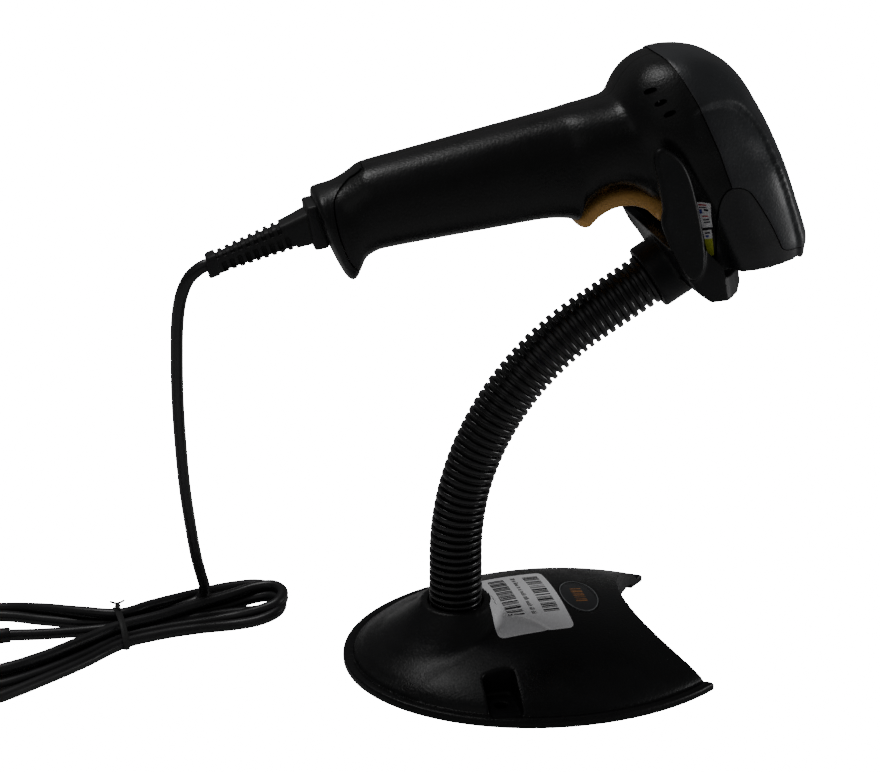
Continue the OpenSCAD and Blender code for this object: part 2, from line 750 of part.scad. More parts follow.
// Cord: one tube along the route, smoothed, with a hank and a plug on the table
function bez(p0, p1, p2, p3, t) = let (q = t * t, c = t * t * t)
    0.5 * (2 * p1 + (p2 - p0) * t + (2 * p0 - 5 * p1 + 4 * p2 - p3) * q + (3 * p1 - p0 - 3 * p2 + p3) * c);
function at_route(v) = let (m = len(ROUTE) - 1, i = min(floor(v), m - 1))
    bez(ROUTE[max(i - 1, 0)], ROUTE[i], ROUTE[i + 1], ROUTE[min(i + 2, m)], v - i);
function route_dir(v) = unit(at_route(min(v + 0.05, len(ROUTE) - 1)) - at_route(max(v - 0.05, 0)));
function cord_ring(v) = let (c = at_route(v), d = route_dir(v), e = unit(cross(d, [0, 1, 0])), f = cross(d, e))
    [for (j = [0:9]) c + cord_d / 2 * (cos(j * 36) * e + sin(j * 36) * f)];

module cord_tube() {
    color([0.08, 0.08, 0.08]) loft([for (i = [0:26]) flip(cord_ring(i / 2))]);
}

module cord_hank() {
    color([0.08, 0.08, 0.08]) linear_extrude(hank_h) difference() {
        polygon(HANK);
        polygon(HANK_GAP);
    }
}

module twist_tie() {
    color([0.1, 0.1, 0.1]) translate([-160, 41, 0]) rotate([0, 0, 8]) difference() {
        translate([-1.5, -14.6, 0]) cube([3, 29.2, hank_h + 1.1]);
        translate([-2, -13.6, -1]) cube([4, 27.2, hank_h + 1.1]);
    }
}

module usb_boot() {
    color([0.1, 0.1, 0.1]) translate([-202, 44, 0]) {
        translate([-36, -8, 0]) cube([24, 16, 8]);
        translate([-12.5, 0, 4]) rotate([0, 90, 0]) cylinder(r1 = 3.6, r2 = 2.9, h = 12.5);
    }
}

module usb_shell() {
    color("silver") translate([-257, 38, 1.7]) difference() {
        cube([19, 12, 4.6]);
        translate([-1, 0.5, 0.5]) cube([14, 11, 3.6]);
    }
}

base_shell();
base_plate();
ballast_weight();
base_screws();
rubber_feet();
neck_nut();
setup_label();
badge_plate();
neck_link_0();
neck_link_1();
neck_link_2();
neck_link_3();
neck_link_4();
neck_sleeve_0();
neck_sleeve_1();
neck_sleeve_2();
neck_sleeve_3();
neck_sleeve_4();
cradle();
collar_screw();
housing_left();
housing_right();
front_hood();
window_bezel();
scan_window();
end_cap();
trigger();
trigger_pin();
trigger_spring();
trigger_switch();
chassis();
main_board();
scan_engine();
engine_lens();
light_board();
beeper();
cable_socket();
cable_plug();
strain_relief();
housing_screws();
marker_stickers();
cord_tube();
cord_hank();
twist_tie();
usb_boot();
usb_shell();
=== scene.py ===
"""A corded handheld barcode scanner resting in its gooseneck stand."""
import math
import random

import bmesh
import bpy
import numpy as np
from mathutils import Matrix, Vector


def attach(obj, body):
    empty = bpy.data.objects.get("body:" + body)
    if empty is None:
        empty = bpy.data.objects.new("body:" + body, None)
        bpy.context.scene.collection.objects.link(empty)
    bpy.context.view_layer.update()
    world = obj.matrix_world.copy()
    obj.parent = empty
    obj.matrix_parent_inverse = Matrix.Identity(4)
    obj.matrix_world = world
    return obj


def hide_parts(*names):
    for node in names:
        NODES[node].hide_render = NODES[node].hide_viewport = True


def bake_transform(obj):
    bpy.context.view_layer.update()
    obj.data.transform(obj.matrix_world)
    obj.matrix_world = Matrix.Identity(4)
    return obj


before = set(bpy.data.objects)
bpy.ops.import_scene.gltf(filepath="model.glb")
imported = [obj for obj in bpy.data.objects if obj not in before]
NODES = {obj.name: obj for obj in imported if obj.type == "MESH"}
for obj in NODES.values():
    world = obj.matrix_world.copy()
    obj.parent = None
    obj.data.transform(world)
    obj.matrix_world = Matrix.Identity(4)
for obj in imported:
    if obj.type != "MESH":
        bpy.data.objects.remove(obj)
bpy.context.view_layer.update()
random.seed(7)
HAS = set(NODES)
TILT = math.radians(10)
GUN_Z = 190.0
NECK_X, NECK_Z, S_BEND, BEND_R, BEND = -36.0, 22.0, 23.0, 105.0, math.radians(58)
S_STRAIGHT = S_BEND + BEND_R * BEND
S_RIM = S_STRAIGHT + 24
PIVOTS = [12.0, 46.0, 86.0, 126.0]
BODIES = ["stand_base", "neck_lower", "neck_middle", "neck_upper", "cradle_body"]


def around(n):
    """n equal steps of a full turn, in radians."""
    return np.linspace(0, 2 * math.pi, n, endpoint=False)


def G(u, y, w):
    """The scanner's own axes to the frame, in metres."""
    return Vector((u * math.cos(TILT) - w * math.sin(TILT), y,
                   GUN_Z + u * math.sin(TILT) + w * math.cos(TILT))) * 0.001


def neck_at(s):
    """The point on the neck's centre line at length s from its foot: straight, round, straight."""
    if s < S_BEND:
        return np.array([NECK_X, 0, NECK_Z + s])
    if s < S_STRAIGHT:
        q = (s - S_BEND) / BEND_R
        return np.array([NECK_X + BEND_R * (1 - math.cos(q)), 0, NECK_Z + S_BEND + BEND_R * math.sin(q)])
    t = s - S_STRAIGHT
    return np.array([NECK_X + BEND_R * (1 - math.cos(BEND)) + t * math.sin(BEND), 0,
                     NECK_Z + S_BEND + BEND_R * math.sin(BEND) + t * math.cos(BEND)])


def neck_turn(s):
    """How far the neck leans from the vertical at length s."""
    return min(max((s - S_BEND) / BEND_R, 0), BEND)


# ------------------------------------------------------------------ materials
def node(nt, kind, **inputs):
    n = nt.nodes.new(kind)
    for k, v in inputs.items():
        n.inputs[k.replace("_", " ")].default_value = v
    return n


def map_range(nt, source, low, high, to_low, to_high):
    n = nt.nodes.new("ShaderNodeMapRange")
    for socket, value in (("From Min", low), ("From Max", high), ("To Min", to_low), ("To Max", to_high)):
        n.inputs[socket].default_value = value
    nt.links.new(source, n.inputs["Value"])
    return n.outputs["Result"]


def plastic(name, color, rough=0.45, grain=1400.0, bump=0.25, depth=0.00006, vary=0.25, spec=0.5,
            smear=0.12, dust=0.0):
    """Moulded plastic: a fine spark-eroded grain, slow changes of shade and gloss."""
    m = bpy.data.materials.new(name)
    m.use_nodes = True
    nt = m.node_tree
    b = nt.nodes["Principled BSDF"]
    b.inputs["Specular IOR Level"].default_value = spec
    co = nt.nodes.new("ShaderNodeTexCoord")
    fine = node(nt, "ShaderNodeTexNoise", Scale=grain, Detail=2.0, Roughness=0.6)
    slow = node(nt, "ShaderNodeTexNoise", Scale=45.0, Detail=4.0, Roughness=0.6)
    for n in (fine, slow):
        nt.links.new(co.outputs["Object"], n.inputs["Vector"])
    shade = map_range(nt, slow.outputs["Fac"], 0.3, 0.7, 1 - vary, 1 + vary)
    mix = nt.nodes.new("ShaderNodeVectorMath")
    mix.operation = "SCALE"
    mix.inputs[0].default_value = color[:3]
    nt.links.new(shade, mix.inputs["Scale"])
    last = mix.outputs["Vector"]
    if dust:
        spots = node(nt, "ShaderNodeTexVoronoi", Scale=900.0)
        nt.links.new(co.outputs["Object"], spots.inputs["Vector"])
        speck = map_range(nt, spots.outputs["Distance"], 0.10, 0.02, 0.0, dust)
        add = nt.nodes.new("ShaderNodeVectorMath")
        add.operation = "ADD"
        nt.links.new(last, add.inputs[0])
        nt.links.new(speck, add.inputs[1])
        last = add.outputs["Vector"]
    nt.links.new(last, b.inputs["Base Color"])
    gloss = map_range(nt, slow.outputs["Fac"], 0.3, 0.7, max(0.03, rough - smear), min(1.0, rough + smear))
    nt.links.new(gloss, b.inputs["Roughness"])
    bp = nt.nodes.new("ShaderNodeBump")
    bp.inputs["Strength"].default_value = bump
    bp.inputs["Distance"].default_value = depth
    nt.links.new(fine.outputs["Fac"], bp.inputs["Height"])
    nt.links.new(bp.outputs["Normal"], b.inputs["Normal"])
    return m


def metal(name, color, rough=0.3, grain=900.0):
    m = plastic(name, color, rough, grain, 0.15, 0.00003, 0.12, 0.5, smear=0.08)
    m.node_tree.nodes["Principled BSDF"].inputs["Metallic"].default_value = 1.0
    return m


M = {
    "gun": plastic("gun_black", (0.007, 0.007, 0.0078), 0.36, 1150, 0.85, 0.00016, 0.2, 0.34),
    "hood": plastic("hood_grey", (0.034, 0.036, 0.040), 0.38, 1300, 0.8, 0.00013, 0.15, 0.45),
    "bezel": plastic("bezel_grey", (0.014, 0.014, 0.016), 0.45, 1700, 0.5, 0.00009, 0.18, 0.5),
    "stand": plastic("stand_black", (0.008, 0.008, 0.009), 0.36, 1150, 0.8, 0.00014, 0.2, 0.24, dust=0.02),
    "cradle": plastic("cradle_black", (0.007, 0.007, 0.008), 0.42, 1300, 0.45, 0.00008, 0.2, 0.3),
    "sleeve": plastic("sleeve_black", (0.006, 0.006, 0.007), 0.25, 900, 0.12, 0.00004, 0.2, 0.6, smear=0.07),
    "cord": plastic("cord_black", (0.014, 0.014, 0.0155), 0.38, 1600, 0.2, 0.00004, 0.2, 0.5, smear=0.08),
    "relief": plastic("relief_black", (0.011, 0.011, 0.012), 0.50, 1500, 0.35, 0.00006, 0.2, 0.45),
    "amber": plastic("trigger_amber", (0.86, 0.47, 0.13), 0.42, 1400, 0.25, 0.00005, 0.06, 0.5),
    "paper": plastic("label_paper", (0.93, 0.93, 0.95), 0.42, 1200, 0.15, 0.00003, 0.03, 0.4),
    "ink": plastic("label_ink", (0.015, 0.015, 0.017), 0.5, 1200, 0.1, 0.00002, 0.3, 0.4),
    "ink_red": plastic("label_red", (0.55, 0.06, 0.06), 0.5, 1200, 0.1, 0.00002, 0.1, 0.4),
    "ink_blue": plastic("label_blue", (0.03, 0.05, 0.35), 0.5, 1200, 0.1, 0.00002, 0.1, 0.4),
    "ink_lime": plastic("label_lime", (0.50, 0.55, 0.03), 0.5, 1200, 0.1, 0.00002, 0.1, 0.4),
    "badge": plastic("badge_grey", (0.020, 0.021, 0.024), 0.30, 1500, 0.2, 0.00004, 0.15, 0.5),
    "silver_line": plastic("badge_line", (0.20, 0.21, 0.22), 0.30, 1500, 0.1, 0.00002, 0.1, 0.5),
    "bronze_ink": plastic("badge_ink", (0.30, 0.13, 0.04), 0.40, 1500, 0.1, 0.00002, 0.1, 0.5),
    "dark": plastic("part_black", (0.02, 0.02, 0.022), 0.5, 1200, 0.3, 0.00005, 0.2, 0.4),
    "board": plastic("board_green", (0.02, 0.14, 0.05), 0.35, 700, 0.2, 0.00004, 0.2, 0.5),
    "ivory": plastic("socket_ivory", (0.70, 0.66, 0.55), 0.45, 1000, 0.2, 0.00004, 0.08, 0.5),
    "lens": plastic("lens_dark", (0.02, 0.02, 0.05), 0.08, 500, 0.02, 0.00001, 0.2, 0.7, smear=0.03),
    "rubber": plastic("foot_rubber", (0.02, 0.02, 0.02), 0.75, 1100, 0.4, 0.00006, 0.2, 0.3),
    "tie": plastic("tie_black", (0.02, 0.02, 0.02), 0.5, 1200, 0.3, 0.00004, 0.2, 0.5),
    "steel": metal("steel", (0.62, 0.62, 0.64), 0.28),
    "zinc": metal("zinc", (0.55, 0.55, 0.57), 0.38),
    "plug": metal("plug_steel", (0.72, 0.72, 0.74), 0.2),
}


def window_material():
    m = plastic("window_red", (0.10, 0.005, 0.008), 0.08, 400, 0.02, 0.00001, 0.1, 0.6, smear=0.03)
    b = m.node_tree.nodes["Principled BSDF"]
    b.inputs["Transmission Weight"].default_value = 0.6
    return m


M["window"] = window_material()
for names, key in (
        (("base_shell",), "stand"), (("cradle",), "cradle"), (("base_plate", "ballast_weight"), "dark"),
        (("base_screws", "housing_screws", "collar_screw", "neck_nut"), "zinc"), (("rubber_feet",), "rubber"),
        (("setup_label", "marker_stickers"), "paper"), (("badge_plate",), "badge"),
        ([f"neck_link_{i}" for i in range(5)] + ["trigger_pin", "trigger_spring"], "steel"),
        ([f"neck_sleeve_{i}" for i in range(5)], "sleeve"),
        (("housing_left", "housing_right", "end_cap", "chassis"), "gun"), (("front_hood",), "hood"),
        (("window_bezel",), "bezel"), (("scan_window",), "window"), (("trigger",), "amber"),
        (("trigger_switch", "scan_engine", "beeper"), "dark"), (("main_board", "light_board"), "board"),
        (("engine_lens",), "lens"), (("cable_socket", "cable_plug"), "ivory"), (("strain_relief",), "relief"),
        (("cord_tube", "cord_hank"), "cord"), (("twist_tie",), "tie"), (("usb_boot",), "relief"),
        (("usb_shell",), "plug")):
    for n in names:
        if n in HAS:
            o = NODES[n]
            o.data.materials.clear()
            o.data.materials.append(M[key])


# ------------------------------------------------------------------ mesh helpers
def mesh_object(name, verts, faces, mat=None, smooth=40.0):
    me = bpy.data.meshes.new(name)
    me.from_pydata([tuple(v) for v in verts], [], faces)
    me.validate()
    me.update()
    o = bpy.data.objects.new(name, me)
    bpy.context.scene.collection.objects.link(o)
    if mat:
        me.materials.append(M[mat] if isinstance(mat, str) else mat)
    soften(o, smooth)
    return o


def soften(o, angle=40.0):
    me = o.data
    if not me.polygons:
        return
    me.shade_smooth()
    if angle:
        me.set_sharp_from_angle(angle=math.radians(angle))


def fix_normals(o):
    bm = bmesh.new()
    bm.from_mesh(o.data)
    bmesh.ops.recalc_face_normals(bm, faces=bm.faces)
    bm.to_mesh(o.data)
    bm.free()


def apply_mod(o):
    bpy.context.view_layer.update()
    dg = bpy.context.evaluated_depsgraph_get()
    me = bpy.data.meshes.new_from_object(o.evaluated_get(dg))
    old = o.data
    o.modifiers.clear()
    o.data = me
    bpy.data.meshes.remove(old)


def boolean(o, other, op, solver="MANIFOLD"):
    """Cuts, joins or crosses o with other, which is then deleted."""
    md = o.modifiers.new("b", "BOOLEAN")
    md.operation = op
    md.solver = solver
    md.object = other
    apply_mod(o)
    drop(other)
    return o


def drop(o):
    me = o.data
    bpy.data.objects.remove(o)
    if me.users == 0:
        bpy.data.meshes.remove(me)


def copy(o, name):
    c = bpy.data.objects.new(name, o.data.copy())
    bpy.context.scene.collection.objects.link(c)
    return c


def rings_mesh(name, rings, mat=None, closed=False, caps=True, smooth=40.0):
    """rings: list of equal-length rings of points; caps close the ends with a fan."""
    n, m = len(rings[0]), len(rings)
    verts = [tuple(p) for r in rings for p in r]
    faces = []
    for i in range(m if closed else m - 1):
        g = (i + 1) % m
        for j in range(n):
            q = (j + 1) % n
            faces.append((i * n + j, i * n + q, g * n + q, g * n + j))
    if caps and not closed:
        for i, flip in ((0, True), (m - 1, False)):
            c = len(verts)
            verts.append(tuple(np.mean(np.array([tuple(p) for p in rings[i]]), axis=0)))
            for j in range(n):
                q = (j + 1) % n
                faces.append((c, i * n + q, i * n + j) if flip else (c, i * n + j, i * n + q))
    o = mesh_object(name, verts, faces, mat, smooth)
    fix_normals(o)
    return o


def spline(points, per=8, closed=False):
    """Catmull-Rom through rows of numbers."""
    p = np.array(points, float)
    n = len(p)
    out = []
    last = n if closed else n - 1
    for i in range(last):
        if closed:
            a, b, c, d = p[(i - 1) % n], p[i], p[(i + 1) % n], p[(i + 2) % n]
        else:
            a, b, c, d = p[max(i - 1, 0)], p[i], p[i + 1], p[min(i + 2, n - 1)]
        for k in range(per):
            t = k / per
            out.append(0.5 * (2 * b + (c - a) * t + (2 * a - 5 * b + 4 * c - d) * t * t
                              + (3 * b - a - 3 * c + d) * t ** 3))
    if not closed:
        out.append(p[-1])
    return np.array(out)


def prism_faces(n):
    """Faces of a prism whose first n points are one end and next n points the other."""
    return [(j, (j + 1) % n, n + (j + 1) % n, n + j) for j in range(n)] + [
        tuple(range(n - 1, -1, -1)), tuple(range(n, 2 * n))]


def prism(name, outline, y0, y1, local=True):
    """A prism along Y over an outline given in the scanner's side view."""
    T = G if local else (lambda u, y, w: Vector((u, y, w)) * 0.001)
    verts = [T(u, y0, w) for u, w in outline] + [T(u, y1, w) for u, w in outline]
    o = mesh_object(name, verts, prism_faces(len(outline)), None, 0)
    fix_normals(o)
    return o


def circle(x, y, r, n=64, b=None):
    """Points of a circle, or of an ellipse with the half height b."""
    b = r if b is None else b
    return [(x + r * math.cos(a), y + b * math.sin(a)) for a in around(n)]


def slab(name, x0, x1, y0, y1, z0, z1, local=True):
    return prism(name, [(x0, z0), (x1, z0), (x1, z1), (x0, z1)], y0, y1, local)


def bevel(o, width, segments=2, angle=30.0):
    md = o.modifiers.new("bev", "BEVEL")
    md.width = width * 0.001
    md.segments = segments
    md.limit_method = "ANGLE"
    md.angle_limit = math.radians(angle)
    apply_mod(o)
    return o


def thicken(o, depth, offset):
    """Gives a sheet a thickness, in metres."""
    md = o.modifiers.new("s", "SOLIDIFY")
    md.thickness = depth
    md.offset = offset
    apply_mod(o)


def give(o, mat, body, *replaced, smooth=40.0, slot=None):
    """The material, the body it moves with and the CAD nodes it stands for; slot is not used."""
    o.data.materials.clear()
    o.data.materials.append(M[mat])
    soften(o, smooth)
    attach(o, body)
    if replaced:
        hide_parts(*[r for r in replaced if r in HAS])
    return o


def remesh(o, size, smooth_steps=0, factor=0.5):
    md = o.modifiers.new("r", "REMESH")
    md.mode = "VOXEL"
    md.voxel_size = size * 0.001
    apply_mod(o)
    if smooth_steps:
        md = o.modifiers.new("s", "SMOOTH")
        md.factor = factor
        md.iterations = smooth_steps
        apply_mod(o)
    return o


# ------------------------------------------------------------------ camera, light, floor
def look():
    """A long lens in front of the stand, a little to its left and above the table."""
    cam = bpy.data.cameras.new("camera")
    ob = bpy.data.objects.new("camera", cam)
    bpy.context.scene.collection.objects.link(ob)
    az, el = math.radians(-11.5), math.radians(21.3)
    fwd = Vector((-math.sin(az) * math.cos(el), math.cos(az) * math.cos(el), -math.sin(el)))
    right = fwd.cross(Vector((0, 0, 1))).normalized()
    up = right.cross(fwd)
    ob.matrix_world = Matrix.Translation(Vector((-0.163, -0.595, 0.348))) @ Matrix(
        (right, up, -fwd)).transposed().to_4x4()
    cam.sensor_width = 36.0
    cam.sensor_fit = "HORIZONTAL"
    cam.lens = 36.0 * 1820 / 880
    cam.clip_start = 0.01
    bpy.context.scene.camera = ob


def area(name, loc, at, size, power):
    li = bpy.data.lights.new(name, "AREA")
    li.energy = power
    li.size = size
    ob = bpy.data.objects.new(name, li)
    bpy.context.scene.collection.objects.link(ob)
    ob.location = loc
    ob.rotation_euler = (Vector(at) - Vector(loc)).to_track_quat("-Z", "Y").to_euler()


def paper_white(nt, else_strength, socket):
    """Seen directly, the surface burns out to white; it lights the object far less."""
    path = nt.nodes.new("ShaderNodeLightPath")
    nt.links.new(map_range(nt, path.outputs["Is Camera Ray"], 0.0, 1.0, else_strength, 22.0), socket)


look()
world = bpy.data.worlds.new("world")
bpy.context.scene.world = world
world.use_nodes = True
world.node_tree.nodes["Background"].inputs["Color"].default_value = (1, 1, 1, 1)
paper_white(world.node_tree, 0.10, world.node_tree.nodes["Background"].inputs["Strength"])
area("key", (-0.30, 0.22, 1.0), (-0.02, 0, 0.15), 0.3, 2.4)
area("fill", (-0.6, -0.7, 0.7), (0, 0, 0.1), 0.6, 0.3)
area("sheen", (0.80, -0.22, 0.10), (0.07, 0, 0.19), 0.30, 2.1)

floor_mat = bpy.data.materials.new("floor")
floor_mat.use_nodes = True
floor_bsdf = floor_mat.node_tree.nodes["Principled BSDF"]
floor_bsdf.inputs["Base Color"].default_value = (0.8, 0.8, 0.8, 1)
floor_bsdf.inputs["Roughness"].default_value = 0.9
floor_bsdf.inputs["Emission Color"].default_value = (1, 1, 1, 1)
paper_white(floor_mat.node_tree, 0.0, floor_bsdf.inputs["Emission Strength"])
floor = mesh_object("floor", [(-6, -6, -0.0002), (6, -6, -0.0002), (6, 6, -0.0002), (-6, 6, -0.0002)],
                    [(0, 1, 2, 3)], floor_mat, 0)
# a dark disc just above the floor under the base is painted shade: it stands for the shadow beneath the base, seen
# through its screw holes
shade = mesh_object("painted_shade_under_base", [((-20 + 46 * math.cos(a)) * 0.001, 46 * math.sin(a) * 0.001, -0.0001)
                                        for a in around(48)],
                    [tuple(range(48))], "dark", 0)


# ------------------------------------------------------------------ cord
D = 4.5
ROUTE = [(-121.6, 0, 162), (-125, 0, 160.8), (-129.2, 0.8, 156.8), (-132, 3, 149.6), (-133.4, 6.6, 140),
         (-134, 11.5, 127), (-134.2, 20.6, 105), (-133.5, 31, 81), (-132.5, 39.5, 62), (-131, 46.6, 45),
         (-129.2, 52.8, 28), (-127.4, 56.8, 17), (-126, 59, 10.2)]
drop_line = spline(ROUTE, 8)


def tube(name, line, mat, d=D, sides=20, caps=True):
    """A round tube along a line of points in millimetres."""
    p = np.array(line, float)
    t = np.gradient(p, axis=0)
    t /= np.linalg.norm(t, axis=1)[:, None]
    ref = np.array([0, 0, 1.0]) if abs(t[0][2]) < 0.9 else np.array([0, 1.0, 0])
    e = np.cross(t[0], ref)
    e /= np.linalg.norm(e)
    rings = []
    for i in range(len(p)):
        e = e - t[i] * e.dot(t[i])
        e /= np.linalg.norm(e)
        f = np.cross(t[i], e)
        rings.append([(p[i] + d / 2 * (math.cos(a) * e + math.sin(a) * f)) * 0.001
                      for a in around(sides)])
    return rings_mesh(name, rings, mat, caps=caps, smooth=60)


def curve(name, line, mat, d=D):
    cu = bpy.data.curves.new(name, "CURVE")
    cu.dimensions = "3D"
    cu.bevel_depth = d / 2 * 0.001
    cu.bevel_resolution = 6
    cu.use_fill_caps = True
    sp = cu.splines.new("POLY")
    sp.points.add(len(line) - 1)
    for k, q in enumerate(line):
        sp.points[k].co = (q[0] * 0.001, q[1] * 0.001, q[2] * 0.001, 1)
    sp.use_smooth = True
    o = bpy.data.objects.new(name, cu)
    bpy.context.scene.collection.objects.link(o)
    cu.materials.append(M[mat])
    return o


def length_of(line):
    p = np.array(line, float)
    return float(np.linalg.norm(np.diff(p, axis=0), axis=1).sum())


# ------------------------------------------------------------------ the hank and the drop
HANK = [(-126, 59, 10), (-126.6, 59.3, 5.6), (-131, 58.6, 2.9), (-145, 54.6, 2.3), (-160, 49.9, 2.3),
        (-175, 51.6, 2.3), (-190, 57, 2.3), (-206, 63.5, 2.3), (-232, 67, 2.3), (-250, 66, 2.3),
        (-260.5, 60.5, 2.3), (-265, 50, 2.3), (-262.5, 37, 2.3), (-254, 27, 2.3), (-240, 21, 2.4),
        (-222, 18.6, 2.3), (-206, 18.2, 2.3), (-190, 24.2, 2.3), (-175, 33, 2.3), (-160, 40.7, 2.3),
        (-145, 44.6, 2.3), (-130, 46.6, 2.3), (-115, 47.8, 2.3), (-105, 47.6, 2.3), (-98, 50.2, 2.4),
        (-95, 56.8, 2.8), (-97.6, 63.4, 3.4), (-104.6, 66.6, 4.1), (-113, 66.4, 4.3), (-122, 64.6, 4.4),
        (-135, 59.8, 5.0), (-148, 53.2, 6.2), (-160, 47.6, 6.7), (-175, 52.6, 6.6), (-190, 60.6, 5.4),
        (-206, 68.7, 3.0), (-232, 72.2, 2.3), (-252, 70.6, 2.3), (-264.5, 61, 2.3), (-269, 46, 2.3),
        (-266, 30, 2.3), (-256.5, 18.5, 2.4), (-240, 11.5, 2.3), (-222, 9.4, 2.3), (-206, 9.2, 2.3),
        (-190, 15.6, 2.3), (-175, 24.8, 2.3), (-160, 36.1, 2.3), (-145, 40.2, 2.3), (-130, 42.2, 2.3),
        (-117, 42.4, 3.4), (-107, 41.0, 5.8), (-99.4, 41.6, 8.0), (-96, 47.4, 9.4), (-98.8, 53.6, 9.6),
        (-106, 55.4, 8.8), (-116, 53.4, 7.4), (-130, 49.2, 6.5), (-145, 43, 6.4), (-160, 38.4, 6.4),
        (-175, 29.2, 6.3), (-190, 20.2, 6.1), (-206, 13.8, 6.2), (-226, 13.6, 6.2), (-243, 16.0, 6.4),
        (-254.5, 11.5, 5.2), (-257, 1.5, 3.0), (-249.5, -6.5, 2.3), (-237, -7.6, 2.3), (-221, -4, 2.3),
        (-206, 0.4, 2.3), (-190, 9.8, 2.3), (-175, 19.8, 2.3), (-160, 31.5, 2.3), (-145, 36.0, 2.3),
        (-130, 37.8, 2.3), (-116, 37.4, 2.6), (-106, 36.6, 4.2), (-99, 39.6, 5.6), (-97, 46.2, 6.4),
        (-100.6, 52.2, 5.9), (-108, 54.2, 4.4), (-118, 53.2, 2.6), (-130, 51.2, 2.3), (-145, 48.9, 2.4),
        (-160, 45.3, 2.3), (-175, 44.6, 2.3), (-190, 44.2, 2.9), (-202, 44, 3.9), (-206, 44, 4)]
hank_line = spline(HANK, 10)
SLICES = 5
# the drop is cut into a foot that stays with the hank and five lengths that are baked in place
total = length_of(drop_line)
cum = np.concatenate([[0], np.cumsum(np.linalg.norm(np.diff(drop_line, axis=0), axis=1))])


def along(a, b, step=1.2):
    n = max(int((b - a) / step), 3)
    s = np.linspace(a, b, n + 1)
    return np.stack([np.interp(s, cum, drop_line[:, k]) for k in range(3)], axis=1)


foot = 14.0
part = (total - foot) / SLICES
marks = [i * part for i in range(SLICES)] + [total - foot]
main_line = np.concatenate([along(total - foot, total)[:-1], hank_line])
main = curve("cord_bundle", main_line, "cord")
for i in range(SLICES):
    seg = along(marks[i], marks[i + 1])
    o = tube(f"cord_drop_{i}", seg, "cord", sides=20, caps=True)
    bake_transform(o)
    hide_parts("cord_tube")


def plug_pieces():
    """The boot, its taper and the metal shell of the plug, lying on the table inside the hank."""
    taper = []
    for x, r in ((0, 2.75), (-0.5, 2.95), (-3, 3.05), (-9, 3.5), (-12, 3.75), (-13.2, 4.1)):
        taper.append([(np.array([-202 + x, 44 + r * math.cos(a), 4 + r * math.sin(a)])) * 0.001
                      for a in around(32)])
    body = []
    for x, hw, hh in ((-11.8, 4.5, 2.6), (-12.2, 5.2, 3.0), (-14, 6.6, 3.55), (-18, 7.6, 3.8), (-26, 7.9, 3.85),
                      (-34.8, 7.9, 3.85), (-35.7, 7.6, 3.6), (-36, 7.1, 3.2)):
        ring = []
        for a in around(48):
            c, s = math.cos(a), math.sin(a)
            ring.append(np.array([-202 + x, 44 + hw * np.sign(c) * abs(c) ** 0.45,
                                  4 + hh * np.sign(s) * abs(s) ** 0.45]) * 0.001)
        body.append(ring)
    t = rings_mesh("plug_taper", taper, "relief")
    for k in range(3):
        g = slab("g", -206.6 - k * 2.4, -205.6 - k * 2.4, 38, 43.2, 2.2, 5.8, False)
        boolean(t, g, "DIFFERENCE", "EXACT")
    bo = rings_mesh("plug_boot", body, "relief")
    for k in range(5):
        for z0 in (7.2, -0.4):
            g = slab("g", -231.6 + k * 2.2, -230.6 + k * 2.2, 39.5, 48.5, z0, z0 + 1.2, False)
            boolean(bo, g, "DIFFERENCE", "EXACT")
    sh = slab("plug_shell", -257, -237.6, 38.2, 49.8, 1.8, 6.2, False)
    boolean(sh, slab("g", -258, -244, 38.6, 49.4, 2.2, 5.8, False), "DIFFERENCE", "EXACT")
    for y in (41.0, 45.0):
        boolean(sh, slab("g", -251.5, -249, y, y + 2.2, 0, 8, False), "DIFFERENCE", "EXACT")
    bevel(sh, 0.18, 2)
    tongue = slab("plug_tongue", -256.2, -243.5, 38.7, 49.3, 2.3, 4.2, False)
    bevel(tongue, 0.15, 2)
    for o, mat, sl in ((t, "relief", "cord_black"), (bo, "relief", "cord_black"), (sh, "plug", "plug_steel"),
                       (tongue, "ivory", "socket_ivory")):
        give(o, mat, "stand_base", slot=sl)
    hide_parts("usb_boot")
    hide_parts("usb_boot")
    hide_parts("usb_shell")
    return [t, bo, sh, tongue]


def tie_piece():
    """A flat plastic-covered wire round the bundle, its ends twisted together on top."""
    loop = []
    for y, z in ((28.9, 2.3), (29.6, 0.75), (32, 0.45), (40, 0.4), (48.5, 0.45), (51.6, 0.75), (52.7, 2.4),
                 (52.3, 4.6), (50.2, 8.2), (47, 9.3), (42, 9.35), (37.4, 9.0), (34.0, 8.0), (30.2, 5.0)):
        loop.append((-160 + (y - 41) * -0.14, y, z))
    p = spline(loop, 8, closed=True)
    rings = []
    for i in range(len(p)):
        t = p[(i + 1) % len(p)] - p[i - 1]
        t /= np.linalg.norm(t)
        e = np.array([1.0, 0, 0]) - t * t[0]
        e /= np.linalg.norm(e)
        f = np.cross(t, e)
        rings.append([(p[i] + 1.25 * math.cos(a) * e
                       + (0.28 + 0.16 * (abs(math.cos(a)) < 0.35)) * math.sin(a) * f) * 0.001 for a in around(16)])
    o = rings_mesh("tie_loop", rings, "tie", closed=True, caps=False)
    give(o, "tie", "stand_base", "twist_tie", slot="cord_black")
    for k, (dx, dy) in enumerate(((1, 0), (-1, 0))):
        line = [(-160.6 + 0.7 * dx * math.cos(q), 45 + q * 0.55, 9.9 + 0.45 * dx * math.sin(q))
                for q in np.linspace(0, 9, 40)]
        line += [(-160.6 + dx * 1.2, 50.6, 10.1), (-160.6 + dx * 2.6, 52.4, 9.9)]
        w = tube(f"tie_end_{k}", spline(line, 2), "tie", d=0.9, sides=10)
        give(w, "tie", "stand_base", slot="cord_black")


plug_bits = plug_pieces()
tie_piece()
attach(main, "stand_base")
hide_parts("cord_hank", "cord_tube")


